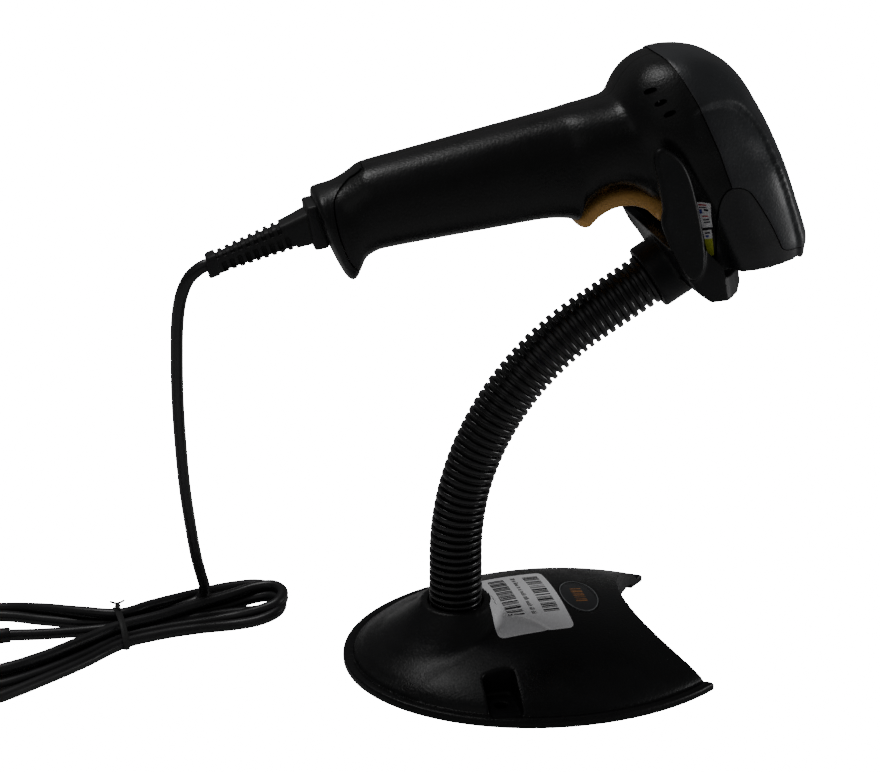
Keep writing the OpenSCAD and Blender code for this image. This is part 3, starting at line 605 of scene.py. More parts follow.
# ------------------------------------------------------------------ scanner shell
GRIP = [(-86, 9, 2.5, 9), (-85.3, 10.8, -1.5, 13), (-84, 11.4, -8, 14.8), (-82, 11.7, -15.8, 15.4),
        (-80, 12, -21, 15.4), (-78, 12.3, -22.4, 15), (-76, 12.8, -20.6, 15), (-73, 13.8, -15.8, 15),
        (-70, 15.2, -14.3, 15), (-66, 16.4, -13.6, 15.2), (-50, 17.2, -14.2, 15.5), (-30, 18.2, -15.2, 16),
        (-10, 19.1, -16.2, 16.6), (-1, 19.5, -18, 17.2), (2.5, 19.7, -19.6, 17.6), (5, 19.8, -15, 18),
        (9, 20, -11.5, 18.5), (14.5, 20.2, -9.7, 19), (20, 20.6, -10.2, 20), (25, 21, -13, 21),
        (30, 21.6, -17.5, 21.5), (38, 21.6, -20, 22)]
GRIP_IN = [(-77.5, 7, -13, 11), (-74, 10.5, -12.6, 12.6), (-70, 13, -12.1, 12.8), (-66, 14.2, -11.4, 13),
           (-50, 15, -12, 13.3), (-30, 16, -13, 13.8), (-10, 16.9, -14, 14.4), (-1, 17.3, -14, 15),
           (5, 17.6, -10.5, 15.8), (9, 17.8, -8.6, 16.3), (14.5, 18, -7, 16.8), (20, 18.4, -7.6, 17.8),
           (25, 18.8, -10.5, 18.8), (30, 19.2, -12, 19.2), (40, 19.2, -12, 19.2)]
HEAD = [(-43, 41, 77, 32, 1), (-36, 38, 78.3, 33.5, 1), (-30, 36, 77.5, 33.5, 1), (-20, 33, 75.7, 33, 1),
        (-11, 29, 74, 32.5, 1), (-4, 25.5, 72.6, 31.5, 0.8), (4, 22, 70.8, 31, 0.35), (11, 20, 68.8, 29.5, 0),
        (18, 21, 65.9, 27.2, 0), (23, 23.5, 62.8, 24.6, 0), (26.4, 26, 59.6, 21.8, 0), (29, 29, 55.6, 18.4, 0),
        (31, 32.5, 49.5, 13.4, 0), (31.7, 36, 45, 8.5, 0)]
HEAD_IN = [(-40.8, 42.5, 74.8, 30.6, 1), (-36, 40.4, 75.7, 31, 1), (-30, 38.4, 75, 31, 1),
           (-20, 35.4, 73.2, 30.6, 1), (-11, 31.4, 71.5, 30, 1), (-4, 28, 69.8, 29.2, 0.8),
           (4, 24.6, 67.4, 28.6, 0.35), (11, 23, 64.6, 27, 0), (18, 24.6, 59.6, 24, 0),
           (23, 28, 54.4, 20.4, 0), (27, 32, 49.6, 15.6, 0), (30, 36, 43.5, 8, 0)]
GIRTH = [(0, 0.12, 0.3), (0.02, 0.42, 0.6), (0.08, 0.66, 0.7), (0.18, 0.83, 0.75), (0.23, 0.88, 0.78),
         (0.29, 0.93, 0.92), (0.38, 0.98, 0.97), (0.48, 1, 1), (0.6, 1, 1), (0.74, 0.95, 0.985),
         (0.86, 0.83, 0.93), (0.95, 0.62, 0.78), (0.99, 0.38, 0.56), (1, 0.12, 0.3)]


def power(v, p):
    return math.copysign(abs(v) ** p, v)


def grip_rings(rows, per=5, sides=72):
    out = []
    for u, top, low, hw in spline(rows, per):
        mid, half = (top + low) / 2, (top - low) / 2
        out.append([G(u, hw * power(math.cos(a), 0.8), mid + half * power(math.sin(a), 0.8)) for a in around(sides)])
    return out


def head_rings(rows, per=5):
    g = spline(GIRTH, 4)
    out = []
    for w, back, front, hw, share in spline(rows, per):
        half = [(back + t * (front - back), hw * (a + (b - a) * share)) for t, a, b in g]
        out.append([G(u, -y, w) for u, y in half] + [G(u, y, w) for u, y in reversed(half)])
    return out


def local_coords(me):
    """A mesh's points in millimetres, and the same along the scanner's three axes."""
    co = np.zeros(len(me.vertices) * 3)
    me.vertices.foreach_get("co", co)
    co = co.reshape(-1, 3) * 1000
    x, z = co[:, 0], co[:, 2] - GUN_Z
    return co, x * math.cos(TILT) + z * math.sin(TILT), co[:, 1], -x * math.sin(TILT) + z * math.cos(TILT)


def normals_of(me):
    n = np.zeros(len(me.vertices) * 3)
    me.vertices.foreach_get("normal", n)
    return n.reshape(-1, 3)


def set_coords(me, co):
    """Puts back the points, given in millimetres."""
    me.vertices.foreach_set("co", (co * 0.001).reshape(-1))
    me.update()


def smoothstep(x, a, b):
    t = np.clip((x - a) / (b - a), 0, 1)
    return t * t * (3 - 2 * t)


def scanner_form():
    grip = rings_mesh("grip", grip_rings(GRIP), smooth=0)
    head = rings_mesh("head", head_rings(HEAD), smooth=0)
    chin = prism("chin", [(45, -41), (45.4, -45.2), (47, -45.9), (51, -44.6), (56, -42.4), (57, -41)], -19, 19)
    for o in (head, chin):
        boolean(grip, o, "UNION", "EXACT")
    remesh(grip, 0.8, 5, 0.5)
    me = grip.data
    co, u, y, w = local_coords(me)
    vg = grip.vertex_groups.new(name="soft")
    soft = smoothstep(u, 6, 16) * (1 - smoothstep(u, 30, 40)) * smoothstep(w, -8, 2)
    for i in np.nonzero(soft > 0.01)[0]:
        vg.add([int(i)], float(soft[i]), "REPLACE")
    md = grip.modifiers.new("s", "SMOOTH")
    md.factor = 0.5
    md.iterations = 60
    md.vertex_group = "soft"
    apply_mod(grip)
    # the hood's shoulder: the front stands proud of the cheeks along a soft ridge
    ridge = spline([(40, 15.6), (43.6, 16.4), (50.7, 16.8), (56.7, 14.8), (60.8, 10.4), (64.4, 3.9), (67, -4.6),
                    (69.2, -14), (71, -24), (72.4, -34), (73, -44)], 8)
    me = grip.data
    co, u, y, w = local_coords(me)
    nrm = normals_of(me)
    near = (u > 40) & (np.abs(y) > 8)
    idx = np.nonzero(near)[0]
    P = np.stack([u[idx], w[idx]], 1)
    d2 = ((P[:, None, :] - ridge[None, :, :]) ** 2).sum(2)
    k = d2.argmin(1)
    t = np.gradient(ridge, axis=0)[k]
    rel = P - ridge[k]
    side = t[:, 0] * rel[:, 1] - t[:, 1] * rel[:, 0]
    d = np.sqrt(d2.min(1)) * np.sign(side)
    up = smoothstep(d, -1.3, 1.3)
    f = up * 0.75 * np.exp(-np.maximum(d, 0) / 9) - (1 - up) * 0.9 * np.exp(np.minimum(d, 0) / 9)
    f *= smoothstep(np.abs(y[idx]), 9, 19) * smoothstep(u[idx], 40, 45)
    co[idx] += nrm[idx] * f[:, None]
    set_coords(me, co)
    inner = rings_mesh("grip_in", grip_rings(GRIP_IN, 3, 48), smooth=0)
    inner2 = rings_mesh("head_in", head_rings(HEAD_IN, 3), smooth=0)
    boolean(inner, inner2, "UNION", "EXACT")
    remesh(inner, 1.6, 2, 0.5)
    boolean(grip, inner, "DIFFERENCE")
    return grip


def band(name, line, width, y0=-50, y1=50):
    """A thin wall along a line in the side view: the open seam between two mouldings."""
    p = np.array(line, float)
    t = np.gradient(p, axis=0)
    t /= np.linalg.norm(t, axis=1)[:, None]
    n = np.stack([-t[:, 1], t[:, 0]], 1) * width / 2
    return prism(name, [tuple(q) for q in p + n] + [tuple(q) for q in (p - n)[::-1]], y0, y1)


HOOD_EDGE = spline([(38.6, 42), (38.6, 33.6), (39.6, 31.2), (41, 27), (42.5, 22), (44.5, 15.5), (46.4, 7.7),
                    (48.4, -0.4), (49.6, -6.6), (50.6, -11.4)], 6)
ARCH_FRONT = spline([(50.6, -11.4), (53.4, -11.8), (56.7, -14.2), (59.4, -19.3), (62.5, -26.6), (64.7, -33.3),
                     (65.7, -36.2), (67.8, -37.6), (72, -38.2), (82, -39.4), (92, -41)], 6)
ARCH_BACK = spline([(44.3, -52), (44.4, -41), (45.1, -27), (45.4, -19), (46.6, -14.8), (48.6, -12.2),
                    (50.6, -11.4)], 6)
CAP_EDGE = spline([(-67.6, 27), (-67.6, 16.5), (-68.4, 15.5), (-70.5, 14.4), (-74, 12.8), (-78.4, 10.2),
                   (-80.5, 7), (-81, 0), (-80.3, -7.1), (-79, -12.7), (-76.6, -17), (-74.6, -20.5),
                   (-73, -24), (-71, -32)], 6)
hood_region = [tuple(q) for q in HOOD_EDGE] + [tuple(q) for q in ARCH_FRONT[1:]] + [(95, 42)]
bezel_region = [tuple(q) for q in ARCH_BACK] + [tuple(q) for q in ARCH_FRONT[1:]] + [(92, -52)]
cap_region = [tuple(q) for q in CAP_EDGE] + [(-97, -32), (-97, 27)]


def scanner_shell():
    form = scanner_form()
    for line in (HOOD_EDGE, ARCH_FRONT, ARCH_BACK, CAP_EDGE):
        boolean(form, band("band", line, 0.5), "DIFFERENCE")
    boolean(form, slab("slot", 1, 42, -8.4, 8.4, -28, -6), "DIFFERENCE")
    boolean(form, slab("hole", -90, -60, -6.3, 6.3, -6, 4.5), "DIFFERENCE")
    hood = copy(form, "hood")
    boolean(hood, prism("r", hood_region, -50, 50), "INTERSECT")
    me = hood.data
    co, u, y, w = local_coords(me)
    nrm = normals_of(me)
    rel = np.stack([u - 52, y / 2, w + 6], 1)
    nu = nrm[:, 0] * math.cos(TILT) + nrm[:, 2] * math.sin(TILT)
    nw = -nrm[:, 0] * math.sin(TILT) + nrm[:, 2] * math.cos(TILT)
    out = (nu * rel[:, 0] + nrm[:, 1] * rel[:, 1] + nw * rel[:, 2]) > 0
    co[out] += nrm[out] * (0.25 + 0.35 * smoothstep(w[out], 12, 30))[:, None]
    set_coords(me, co)
    bezel = copy(form, "bezel")
    boolean(bezel, prism("r", bezel_region, -50, 50), "INTERSECT")
    boolean(bezel, slab("w", 56, 71.5, -22, 22, -60, -38), "DIFFERENCE")
    cap = copy(form, "cap")
    boolean(cap, prism("r", cap_region, -50, 50), "INTERSECT")
    boolean(cap, slab("c", -94, -84, -7.6, 7.6, -8.3, 7.5), "DIFFERENCE")
    for region in (hood_region, bezel_region, cap_region):
        boolean(form, prism("r", region, -50, 50), "DIFFERENCE")
    left = copy(form, "shell_left")
    boolean(left, slab("s", -100, 100, -60, -0.1, -70, 60), "INTERSECT")
    right = form
    right.name = "shell_right"
    boolean(right, slab("s", -100, 100, 0.1, 60, -70, 60), "INTERSECT")
    for i in (-1, 0, 1):
        ell = [(32.4 + i * 1.85 + 2.1 * math.cos(a) * math.cos(0.32) - 0.85 * math.sin(a) * math.sin(0.32),
                20.4 - i * 3.6 + 2.1 * math.cos(a) * math.sin(0.32) + 0.85 * math.sin(a) * math.cos(0.32))
               for a in around(28)]
        boolean(left, prism("v", ell, -40, -12), "DIFFERENCE")
    for su, sw, seat in ((-40, -5, 11), (-12, -5, 11.6), (26, 13, 16)):
        boolean(right, prism("p", circle(su, sw, 4.4, 40), 2, seat + 1.5), "UNION")
        boolean(right, prism("h", circle(su, sw, 3, 40), seat, 40), "DIFFERENCE")
    for o, mat, replaced, slot in (
            (left, "gun", "housing_left", "gun_black"), (right, "gun", "housing_right", "gun_black"),
            (hood, "hood", "front_hood", "hood_grey"), (bezel, "bezel", "window_bezel", "hood_grey"),
            (cap, "gun", "end_cap", "gun_black")):
        give(o, mat, "scanner", replaced, smooth=42, slot=slot)


scanner_shell()


def throat_stickers():
    """Two small paper stickers on the near side of the throat, with plain coloured marks."""
    half = bpy.data.objects["shell_left"]

    def sheet_of(name, outline, off, mat):
        n = 9
        verts = []
        a, b, c, d = [np.array(q, float) for q in outline]
        for i in range(n):
            for j in range(n):
                p = (a * (1 - i / (n - 1)) + b * i / (n - 1)) * (1 - j / (n - 1)) + (
                    d * (1 - i / (n - 1)) + c * i / (n - 1)) * j / (n - 1)
                q = G(p[0], -60, p[1])
                hit = half.ray_cast(q, Vector((0, 1, 0)))
                y = hit[1].y * 1000 - off if hit[0] else -26
                verts.append(tuple(G(p[0], y, p[1])))
        faces = [(i * n + j, i * n + j + 1, (i + 1) * n + j + 1, (i + 1) * n + j) for i in range(n - 1)
                 for j in range(n - 1)]
        o = mesh_object(name, verts, faces, mat, 0)
        thicken(o, 0.00012, 0)
        return o
    bpy.context.view_layer.update()
    top = sheet_of("sticker_top", [(39.4, -15.7), (43.3, -15.9), (44.1, -25.4), (40.7, -25.4)], 0.3, "paper")
    give(top, "paper", "scanner", "marker_stickers")
    low = sheet_of("sticker_low", [(40.9, -26.4), (43.7, -26.4), (43.8, -29.6), (41.2, -29.6)], 0.3, "paper")
    give(low, "paper", "scanner", "marker_stickers")
    lime = sheet_of("sticker_lime", [(41.2, -29.6), (43.8, -29.6), (43.8, -36), (41.8, -36)], 0.3, "ink_lime")
    give(lime, "ink_lime", "scanner")
    marks = ([(40.2, -16.5), (42.4, -16.6), (42.5, -17.1), (40.3, -17.0)], "ink_red"), (
        [(40.3, -17.6), (42.5, -17.7), (42.6, -18.0), (40.4, -17.9)], "ink"), (
        [(40.4, -18.5), (41.2, -18.5), (41.3, -20.0), (40.5, -20.0)], "ink_blue"), (
        [(41.8, -18.4), (42.9, -18.5), (43.0, -19.3), (41.9, -19.2)], "ink"), (
        [(41.2, -21.0), (43.0, -21.0), (43.1, -21.4), (41.3, -21.4)], "ink_red"), (
        [(41.3, -22.3), (43.2, -22.3), (43.3, -22.7), (41.4, -22.7)], "ink"), (
        [(41.5, -23.3), (43.4, -23.3), (43.4, -23.7), (41.6, -23.7)], "ink"), (
        [(41.5, -27.2), (43.1, -27.2), (43.2, -27.7), (41.6, -27.7)], "ink"), (
        [(41.6, -28.3), (42.6, -28.3), (42.6, -29.0), (41.7, -29.0)], "ink_blue")
    for i, (q, mat) in enumerate(marks):
        o = sheet_of(f"sticker_mark_{i}", q, 0.42, mat)
        give(o, mat, "scanner")


throat_stickers()


# ------------------------------------------------------------------ trigger
def trigger_piece():
    rings = []
    angles = list(np.linspace(26, 132, 54))
    ends = [(132 + 9.0 * math.sin(q), math.cos(q)) for q in np.linspace(0.12, 1.5, 8)]
    for a, k in [(a, 1.0) for a in angles] + ends:
        ca, sa = math.cos(math.radians(a)), math.sin(math.radians(a))
        ring = []
        for q in around(48):
            c, s = math.cos(q), math.sin(q)
            rr = 19 + 3.0 * k * power(c, 0.62) + (0.25 if c < 0 else 0) * k
            yy = 8.0 * (0.35 + 0.65 * k) * power(s, 0.42)
            rr += math.copysign(0.55 * (1 - (yy / 8) ** 2), 1 if c > 0 else -1)
            ring.append(G(18 + rr * ca, yy, -34 + rr * sa))
        rings.append(ring)
    o = rings_mesh("trigger_lever", rings, smooth=0)
    arm = prism("arm", [(30.6, -25.6), (31.5, -20), (35, -17.4), (40, -16.1), (43.6, -19), (40.6, -22.9),
                        (35, -25.2)], -7.6, 7.6)
    post = slab("post", 12, 16, -2, 2, -14, -9.4)
    for x in (arm, post):
        boolean(o, x, "UNION", "EXACT")
    remesh(o, 0.5, 4, 0.5)
    boolean(o, prism("h", circle(40.5, -19.5, 1.25, 24), -10, 10), "DIFFERENCE")
    give(o, "amber", "trigger_body", "trigger", smooth=50, slot="trigger_amber")


trigger_piece()


# ------------------------------------------------------------------ ribbed sleeve of the neck
def neck_ring(s, r, sides=64):
    """A circle square to the neck at length s."""
    c, t = neck_at(s), neck_turn(s)
    across, side = np.array([math.cos(t), 0, -math.sin(t)]), np.array([0, 1, 0])
    return [(c + r * (math.cos(a) * across + math.sin(a) * side)) * 0.001 for a in around(sides)]


def sleeve_pieces():
    cuts = [-6.5]
    while cuts[-1] < S_RIM - 1.8:
        cuts.append(cuts[-1] + 2.8 + 0.45 * max(cuts[-1], 0) / 150)
    scale = (S_RIM + 1.0 + 6.5) / (cuts[-1] + 6.5)
    cuts = [-6.5 + (c + 6.5) * scale for c in cuts]
    edges = []
    for p in PIVOTS:
        reach = 6.5 if p == 12 else 9.0
        edges.append(min(cuts, key=lambda c: abs(c - (p - reach))))
        edges.append(min(cuts, key=lambda c: abs(c - (p + reach))))
    bounds_ = [cuts[0]] + edges + [cuts[-1]]
    for i in range(len(bounds_) - 1):
        a, b = bounds_[i], bounds_[i + 1]
        prof = []
        mine = [k for k in range(len(cuts) - 1) if cuts[k] >= a - 0.01 and cuts[k + 1] <= b + 0.01]
        for k in mine:
            c, p = (cuts[k] + cuts[k + 1]) / 2, cuts[k + 1] - cuts[k]
            full = 0.4 * (1 - float(smoothstep(c, 10, 60)))
            for q, r in ((-0.5, 7.9), (-0.34, 7.95), (-0.30, 8.5), (-0.285, 9.15), (-0.235, 9.42), (-0.13, 9.5),
                         (0.13, 9.5), (0.235, 9.42), (0.285, 9.15), (0.30, 8.5), (0.34, 7.95)):
                prof.append((c + q * p, r + (full if r > 8 else 0)))
        prof.append((b, 7.9))
        inner = [(s, 6.7) for s in np.linspace(b, a, 8)]
        o = rings_mesh(f"sleeve_{i}", [neck_ring(s, r) for s, r in prof + inner], closed=True, caps=False)
        j = i // 2
        o.data.materials.clear()
        o.data.materials.append(M["sleeve"])
        soften(o, 55)
        if i % 2 == 0:
            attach(o, BODIES[j])
            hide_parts(f"neck_sleeve_{j}")
        else:
            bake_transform(o)
            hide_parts(f"neck_sleeve_{j}", f"neck_sleeve_{j + 1}")


sleeve_pieces()


# ------------------------------------------------------------------ base
BADGE_X, BADGE_Y = 12.5, 1.5
BOSS = spline([(60, 0), (40, 4.4), (34, 7.9), (28, 11.6), (22, 16), (17.5, 20.2), (14.4, 23.4), (13.0, 24.7),
               (12.2, 25.1), (0, 25.1)], 8)
BOSS_R, BOSS_Z = BOSS[::-1, 0], BOSS[::-1, 1]


def top_z(x, y):
    """The height of the base's top: the dome, blended into the flared boss."""
    rho2 = np.minimum((x / 74.5) ** 2 + (y / 54.5) ** 2, 1)
    dome = 4 + 17 * (1 - rho2) ** 0.75
    r = np.hypot(x - NECK_X, y)
    b = np.interp(r, BOSS_R, BOSS_Z)
    k = 1.6
    h = np.clip(0.5 + 0.5 * (b - dome) / k, 0, 1)
    return np.where(r < 13.0, np.maximum(b, dome), dome * (1 - h) + b * h + k * h * (1 - h) * 0.5)


def height(x, y):
    return float(top_z(np.array(x), np.array(y)))


def badge_crown(x, y):
    """1 at the badge's middle, 0 at its edge."""
    return 1 - min(1, ((x - BADGE_X) / 7) ** 2 + ((y - BADGE_Y) / 12.5) ** 2)


def badge_patch(a, b):
    return BADGE_X + (a - 0.5) * 18, (b - 0.5) * 30 + BADGE_Y


def field_solid(name, to_xy, na, nb, top, low, mat=None):
    """A closed solid between two height functions over a patch; to_xy maps 0..1, 0..1 to x, y."""
    verts, faces = [], []
    for f in (top, low):
        for i in range(na + 1):
            for j in range(nb + 1):
                x, y = to_xy(i / na, j / nb)
                verts.append((x * 0.001, y * 0.001, float(f(x, y)) * 0.001))
    n = (na + 1) * (nb + 1)

    def at(i, j, k):
        return k * n + i * (nb + 1) + j
    for i in range(na):
        for j in range(nb):
            faces.append((at(i, j, 0), at(i + 1, j, 0), at(i + 1, j + 1, 0), at(i, j + 1, 0)))
            faces.append((at(i, j, 1), at(i, j + 1, 1), at(i + 1, j + 1, 1), at(i + 1, j, 1)))
    for i in range(na):
        for j in (0, nb):
            faces.append((at(i, j, 0), at(i + 1, j, 0), at(i + 1, j, 1), at(i, j, 1)))
    for j in range(nb):
        for i in (0, na):
            faces.append((at(i, j, 0), at(i, j + 1, 0), at(i, j + 1, 1), at(i, j, 1)))
    o = mesh_object(name, verts, faces, mat, 0)
    fix_normals(o)
    return o


def upright(name, outline, z0, z1):
    """A vertical prism over an outline in plan."""
    verts = [(x * 0.001, y * 0.001, z * 0.001) for z in (z0, z1) for x, y in outline]
    o = mesh_object(name, verts, prism_faces(len(outline)), None, 0)
    fix_normals(o)
    return o


def base_piece():
    nth = 240
    th = around(nth)
    rings = [[((78 - g) * math.cos(a) * 0.001, (58 - g) * math.sin(a) * 0.001, z * 0.001) for a in th]
             for g, z in ((12, 0.6), (0, 0.6), (-0.5, 0.8), (-0.7, 1.2), (-0.7, 3.2), (-0.55, 3.7), (-0.1, 4.0),
                          (0.4, 4.1), (2.1, 4.1), (2.5, 3.9), (2.8, 3.0), (3.5, 3.0))]
    for k in np.concatenate([[1.0, 0.997, 0.99, 0.98], np.linspace(0.96, 0.01, 90)]):
        rings.append([(x * 0.001, y * 0.001, height(x, y) * 0.001)
                      for x, y in circle(0, 0, 74.5 * k, nth, 54.5 * k)])
    dome = rings_mesh("base_dome", rings, smooth=0)
    hollow = upright("hollow", circle(0, 0, 70.5, 120, 50.5), -1, 3)
    for s in (-1, 1):
        keep = [(-37, 33 * s), (-19, 33 * s), (-19, 60 * s), (-37, 60 * s)]
        boolean(hollow, upright("k", keep if s > 0 else keep[::-1], -3, 6), "DIFFERENCE", "EXACT")
    boolean(dome, hollow, "DIFFERENCE")
    boolean(dome, upright("notch", circle(85, 0, 55, 220), -2, 40), "DIFFERENCE")
    for s in (-1, 1):
        out = [(-22.1, 51.8 * s)]
        out += [(-28 + 5.9 * power(math.cos(a), 0.55), (38.5 - 4.0 * power(math.sin(a), 0.6)) * s)
                for a in np.linspace(0, math.pi, 24)]
        out += [(-33.9, 51.8 * s)]
        c = upright("pocket", out, 3, 40)
        bevel(c, 0.7, 3, 60)
        boolean(dome, c, "DIFFERENCE", "EXACT")
        boolean(dome, upright("h", circle(-28, 42 * s, 2.25, 32), -2, 10), "DIFFERENCE", "EXACT")
    boolean(dome, upright("recess", circle(NECK_X, 0, 10.4, 72), 15, 40), "DIFFERENCE")
    boolean(dome, upright("core", circle(NECK_X, 0, 6.1, 48), -2, 20), "DIFFERENCE")
    boolean(dome, upright("nut", circle(NECK_X, 0, 10, 48), -2, 10.1), "DIFFERENCE")
    iron = upright("iron", [(-18.2, -28.2), (17.2, -28.2), (17.2, 28.2), (-18.2, 28.2)], 2, 12.2)
    boolean(dome, iron, "DIFFERENCE")
    pit = field_solid("pit", badge_patch, 24, 36, lambda x, y: 40.0, lambda x, y: height(x, y) - 0.75)
    boolean(pit, upright("o", circle(BADGE_X, BADGE_Y, 7.35, 72, 12.85), 0, 45), "INTERSECT")
    boolean(dome, pit, "DIFFERENCE")
    remesh(dome, 0.55, 3, 0.5)
    give(dome, "stand", "stand_base", "base_shell", smooth=35, slot="stand_black")
    plate = field_solid("badge", badge_patch, 30, 48,
                        lambda x, y: height(x, y) - 0.2 + 0.35 * badge_crown(x, y),
                        lambda x, y: height(x, y) - 0.74)
    boolean(plate, upright("o", circle(BADGE_X, BADGE_Y, 7.0, 72, 12.5), 0, 45), "INTERSECT")
    bevel(plate, 0.2, 2, 50)
    give(plate, "badge", "stand_base", "badge_plate", smooth=40, slot="badge_grey")


base_piece()


def label_pieces():
    ca, sa = math.cos(math.radians(1.5)), math.sin(math.radians(1.5))

    def place(a, b):
        return -10 + a * ca - b * sa, 3.5 + a * sa + b * ca

    def lift(x, y, h):
        a, b = (x + 10) * ca + (y - 3.5) * sa, -(x + 10) * sa + (y - 3.5) * ca
        d = ((a + 14) * 0.62 + (b + 6) * 0.78) + 0.035 * (a + 8) ** 2 * 0.5
        fold = 0.5 * math.exp(-(d / 1.3) ** 2) * float(smoothstep(-b, 3, 9)) * float(smoothstep(-a, -8, -1))
        return height(x, y) + h + fold
    sheet = field_solid("label", lambda a, b: place((a - 0.5) * 31, (b - 0.5) * 50), 60, 90,
                        lambda x, y: lift(x, y, 0.2), lambda x, y: lift(x, y, 0.0))
    out = []
    for cx, cy, a0 in ((12, 21.5, 0), (-12, 21.5, 90), (-12, -21.5, 180), (12, -21.5, 270)):
        for q in np.radians(np.arange(a0, a0 + 91, 15)):
            out.append(place(cx + 2.5 * math.cos(q), cy + 2.5 * math.sin(q)))
    boolean(sheet, upright("o", out, 0, 45), "INTERSECT")
    boolean(sheet, upright("n", circle(NECK_X, 0, 13.3, 64), 0, 45), "DIFFERENCE")
    give(sheet, "paper", "stand_base", "setup_label", smooth=40, slot="paper_label")
    verts, faces = [], []

    def patch(a0, a1, b0, b1, n=5):
        k = len(verts)
        for i in range(n + 1):
            for b in (b0, b1):
                x, y = place(a0 + (a1 - a0) * i / n, b)
                verts.append((x * 0.001, y * 0.001, lift(x, y, 0.24) * 0.001))
        for i in range(n):
            faces.append((k + 2 * i, k + 2 * i + 2, k + 2 * i + 3, k + 2 * i + 1))
    rnd = random.Random(11)
    for a0, a1, b0, b1 in ((-7.9, -1.6, -12.4, 19.5), (5.9, 11.9, -12.8, 20.5)):
        b = b0
        while b < b1:
            t = rnd.choice((0.42, 0.42, 0.42, 0.85, 0.85, 1.3))
            patch(a0, a1, b, min(b + t, b1 + 0.4))
            b += t + rnd.choice((0.42, 0.42, 0.85, 1.2))
    # rows of short strokes stand in for the printed lines
    for a, high, b0, b1 in ((-11.9, 1.2, -6.5, 17.5), (1.1, 1.9, -13, 20)):
        b = b0
        while b < b1:
            for _ in range(rnd.choice((3, 4, 6, 8))):
                if b > b1:
                    break
                up = rnd.choice((0.62, 0.8, 1.0)) * high
                patch(a, a + up, b, b + 0.26, 2)
                b += 0.52
            b += 0.7
    ink = mesh_object("label_bars", verts, faces, "ink", 0)
    thicken(ink, 0.00003, -1)
    give(ink, "ink", "stand_base", smooth=0, slot="paper_label")

    # the badge's bright outline and a plain row of bars inside it
    def ring_of(name, ra, rb, wide, n=96):
        v, f = [], []
        for i in range(n):
            t = 2 * math.pi * i / n
            for k in (-wide / 2, wide / 2):
                x, y = BADGE_X + (ra + k) * math.cos(t), BADGE_Y + (rb + k) * math.sin(t)
                v.append((x * 0.001, y * 0.001, (height(x, y) + 0.2) * 0.001))
        for i in range(n):
            j = (i + 1) % n
            f.append((2 * i, 2 * i + 1, 2 * j + 1, 2 * j))
        o = mesh_object(name, v, f, "silver_line", 0)
        thicken(o, 0.0002, 1)
        return o
    edge = ring_of("badge_rim", 6.75, 12.25, 0.3)
    give(edge, "silver_line", "stand_base", smooth=50)
    verts, faces = [], []
    for i, t in enumerate((1.1, 0.55, 0.55, 1.1, 0.55, 1.6, 0.55, 1.1)):
        b = -4.9 + 1.42 * i
        base = len(verts)
        for q in range(4):
            x = BADGE_X - 2.2 + 4.4 * q / 3
            for y in (BADGE_Y + b, BADGE_Y + b + t * 0.75):
                z = height(x, y) - 0.17 + 0.36 * badge_crown(x, y)
                verts.append((x * 0.001, y * 0.001, z * 0.001))
        for q in range(3):
            faces.append((base + 2 * q, base + 2 * q + 2, base + 2 * q + 3, base + 2 * q + 1))
    mark = mesh_object("badge_mark", verts, faces, "bronze_ink", 0)
    thicken(mark, 0.00003, -1)
    give(mark, "bronze_ink", "stand_base", smooth=0)


label_pieces()


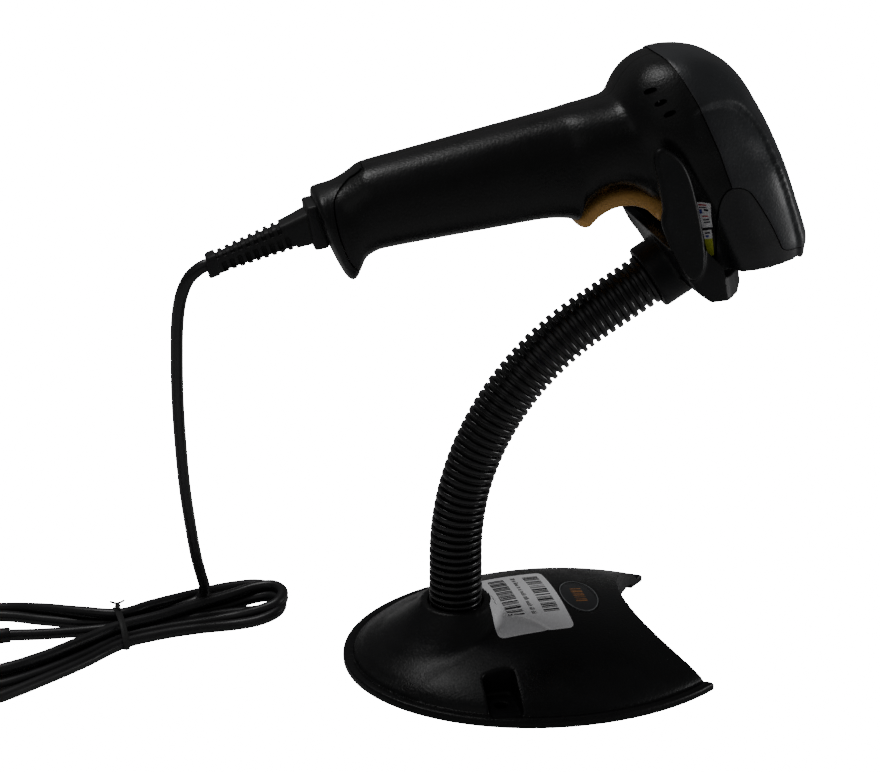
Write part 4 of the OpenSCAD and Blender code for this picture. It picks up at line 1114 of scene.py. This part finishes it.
# ------------------------------------------------------------------ cradle
def cradle_piece():
    wing = spline([(25.5, -20), (26.5, -14), (26.3, -7), (25.7, 1), (26.0, 5.2), (27.6, 7), (29.4, 6.9), (32.2, 4.9),
                   (35.2, 1), (37.2, -4.7), (38.2, -11), (38.9, -18), (39.4, -26), (39.2, -33), (38.2, -38.4),
                   (35.6, -41.6), (32.4, -40), (29, -33)], 4, closed=True)
    body = None
    for y in (-31, 28):
        w = prism("w", [tuple(q) for q in wing], y, y + 3)
        bevel(w, 0.8, 2, 50)
        body = w if body is None else boolean(body, w, "UNION", "EXACT")
    back = prism("b", [(27.3, -29), (29.5, -33), (33, -42), (36, -48), (40, -52), (46, -52.5), (46, -40), (38, -29)],
                 -28.6, 28.6)
    lip = prism("l", [(34, -46), (37, -49), (40.5, -52.4), (44.5, -54.6), (49, -55.6), (53.4, -55), (56.4, -53),
                      (58, -50.4), (57.8, -48), (56, -46.5), (38, -43)], -24, 24)
    plan = [(28, 24), (40, 24), (45, 23), (49.5, 20.6), (53.2, 17), (56, 12.4), (57.7, 7), (58.3, 0)]
    plan = plan + [(u, -y) for u, y in plan[-2::-1]]
    trim = mesh_object("t", [tuple(G(u, y, w)) for w in (-66, -34) for u, y in plan],
                       prism_faces(len(plan)), None, 0)
    fix_normals(trim)
    boolean(lip, trim, "INTERSECT", "EXACT")
    tube_rows = ((0.3, 11.7), (0.5, 12.0), (1.0, 12.2), (9, 12.2), (17, 12.2))
    collar = rings_mesh("collar", [neck_ring(S_RIM + s, r, 96) for s, r in tube_rows])
    for x in (back, lip, collar):
        boolean(body, x, "UNION", "EXACT")
    free = prism("f", [(29.5, -26), (31.5, -30), (33.2, -33), (36, -39.5), (39, -44.5), (41.5, -46.5), (90, -46.5),
                       (90, 40), (29.5, 40)], -28, 28)
    boolean(body, free, "DIFFERENCE", "EXACT")
    remesh(body, 0.62, 4, 0.5)
    bore = rings_mesh("bore", [neck_ring(S_RIM + s, 8.02, 64) for s in (-3, 11.1)], smooth=0)
    mouth = rings_mesh("mouth", [neck_ring(S_RIM + s, r, 64) for s, r in ((-3, 10.2), (1.2, 9.9))], smooth=0)
    boolean(body, bore, "DIFFERENCE")
    boolean(body, mouth, "DIFFERENCE")
    c, t = neck_at(S_RIM + 6), neck_turn(S_RIM + 6)
    ex = np.array([math.cos(t), 0, -math.sin(t)])
    ey = np.array([0, 1.0, 0])
    ez = np.array([math.sin(t), 0, math.cos(t)])
    hole = rings_mesh("hole", [[(c + ex * d + 2.0 * (math.cos(a) * ey + math.sin(a) * ez)) * 0.001
                                for a in around(32)] for d in (5, 20)], smooth=0)
    boolean(body, hole, "DIFFERENCE")
    body.name = "cradle_moulding"
    give(body, "cradle", "cradle_body", "cradle", smooth=42, slot="stand_black")


cradle_piece()


# ------------------------------------------------------------------ strain relief
def relief_piece():
    c9, s9 = math.cos(math.radians(9)), math.sin(math.radians(9))

    def R(x, y, z):
        z = z - 0.2 * float(np.clip((-x - 16) / 24, 0, 1.1)) ** 2
        return G(-86 + x * c9 + z * (-s9), y, -0.4 + x * s9 + z * c9)

    def box_ring(x, hy, hz, slant=0.0, n=48, p=0.35):
        return [R(x + slant * z, y, z) for y, z in
                [(hy * power(math.cos(a), p), hz * power(math.sin(a), p)) for a in around(n)]]
    rows = [(-2, 6.1, 6.0), (-5, 5.7, 5.6), (-9, 5.2, 5.1), (-13, 4.9, 4.8), (-19, 4.6, 4.5), (-24, 4.4, 4.2),
            (-29, 4.2, 3.9), (-34, 4.0, 3.6), (-37, 3.9, 3.5)]
    body = rings_mesh("relief", [box_ring(*r) for r in rows], smooth=0)
    tip = rings_mesh("tip", [box_ring(x, h, h2, 0.2) for x, h, h2 in
                             ((-36.4, 3.8, 3.6), (-36.6, 4.1, 3.9), (-39.6, 4.1, 3.9), (-40.2, 3.9, 3.7),
                              (-40.5, 3.5, 3.3))], smooth=0)
    boolean(body, tip, "UNION")

    def block(name, axes, xs, ys, zs, width, segments):
        v = [axes(x, y, z) for x in xs for y in ys for z in zs]
        f = [(0, 1, 3, 2), (4, 6, 7, 5), (0, 4, 5, 1), (2, 3, 7, 6), (0, 2, 6, 4), (1, 5, 7, 3)]
        o = mesh_object(name, v, f, None, 0)
        fix_normals(o)
        return bevel(o, width, segments, 60)

    def cutter(x0, x1, y0, y1, z0, z1):
        return block("cut", R, (x0, x1), (y0, y1), (z0, z1), 0.45, 2)
    cuts = []
    for i in range(9):
        x = -35.4 + i * 2.85
        deep = 2.6 + i * 0.13
        for y0, y1 in ((deep, 9), (-9, -deep)):
            cuts.append(cutter(x, x + 1.65, y0, y1, -2.9, 0.6))
            cuts.append(cutter(x - 1.42 if i else x - 1.0, x + 0.1, y0, y1, 1.9, 9))
        cuts.append(cutter(x - 1.42 if i else x - 1.0, x + 0.1, -9, 9, deep - 0.05, 9))
        cuts.append(cutter(x + 1.6, x + 2.95, -9, 9, -9, -deep))
    for c in cuts:
        boolean(body, c, "DIFFERENCE")
    col = block("collar", G, (-89.4, -84.1), (-7.5, 7.5), (-8.2, 7.4), 1.1, 3)
    boolean(body, col, "UNION")
    body.name = "strain_relief_moulding"
    give(body, "relief", "scanner", "strain_relief", smooth=38, slot="cord_black")


relief_piece()
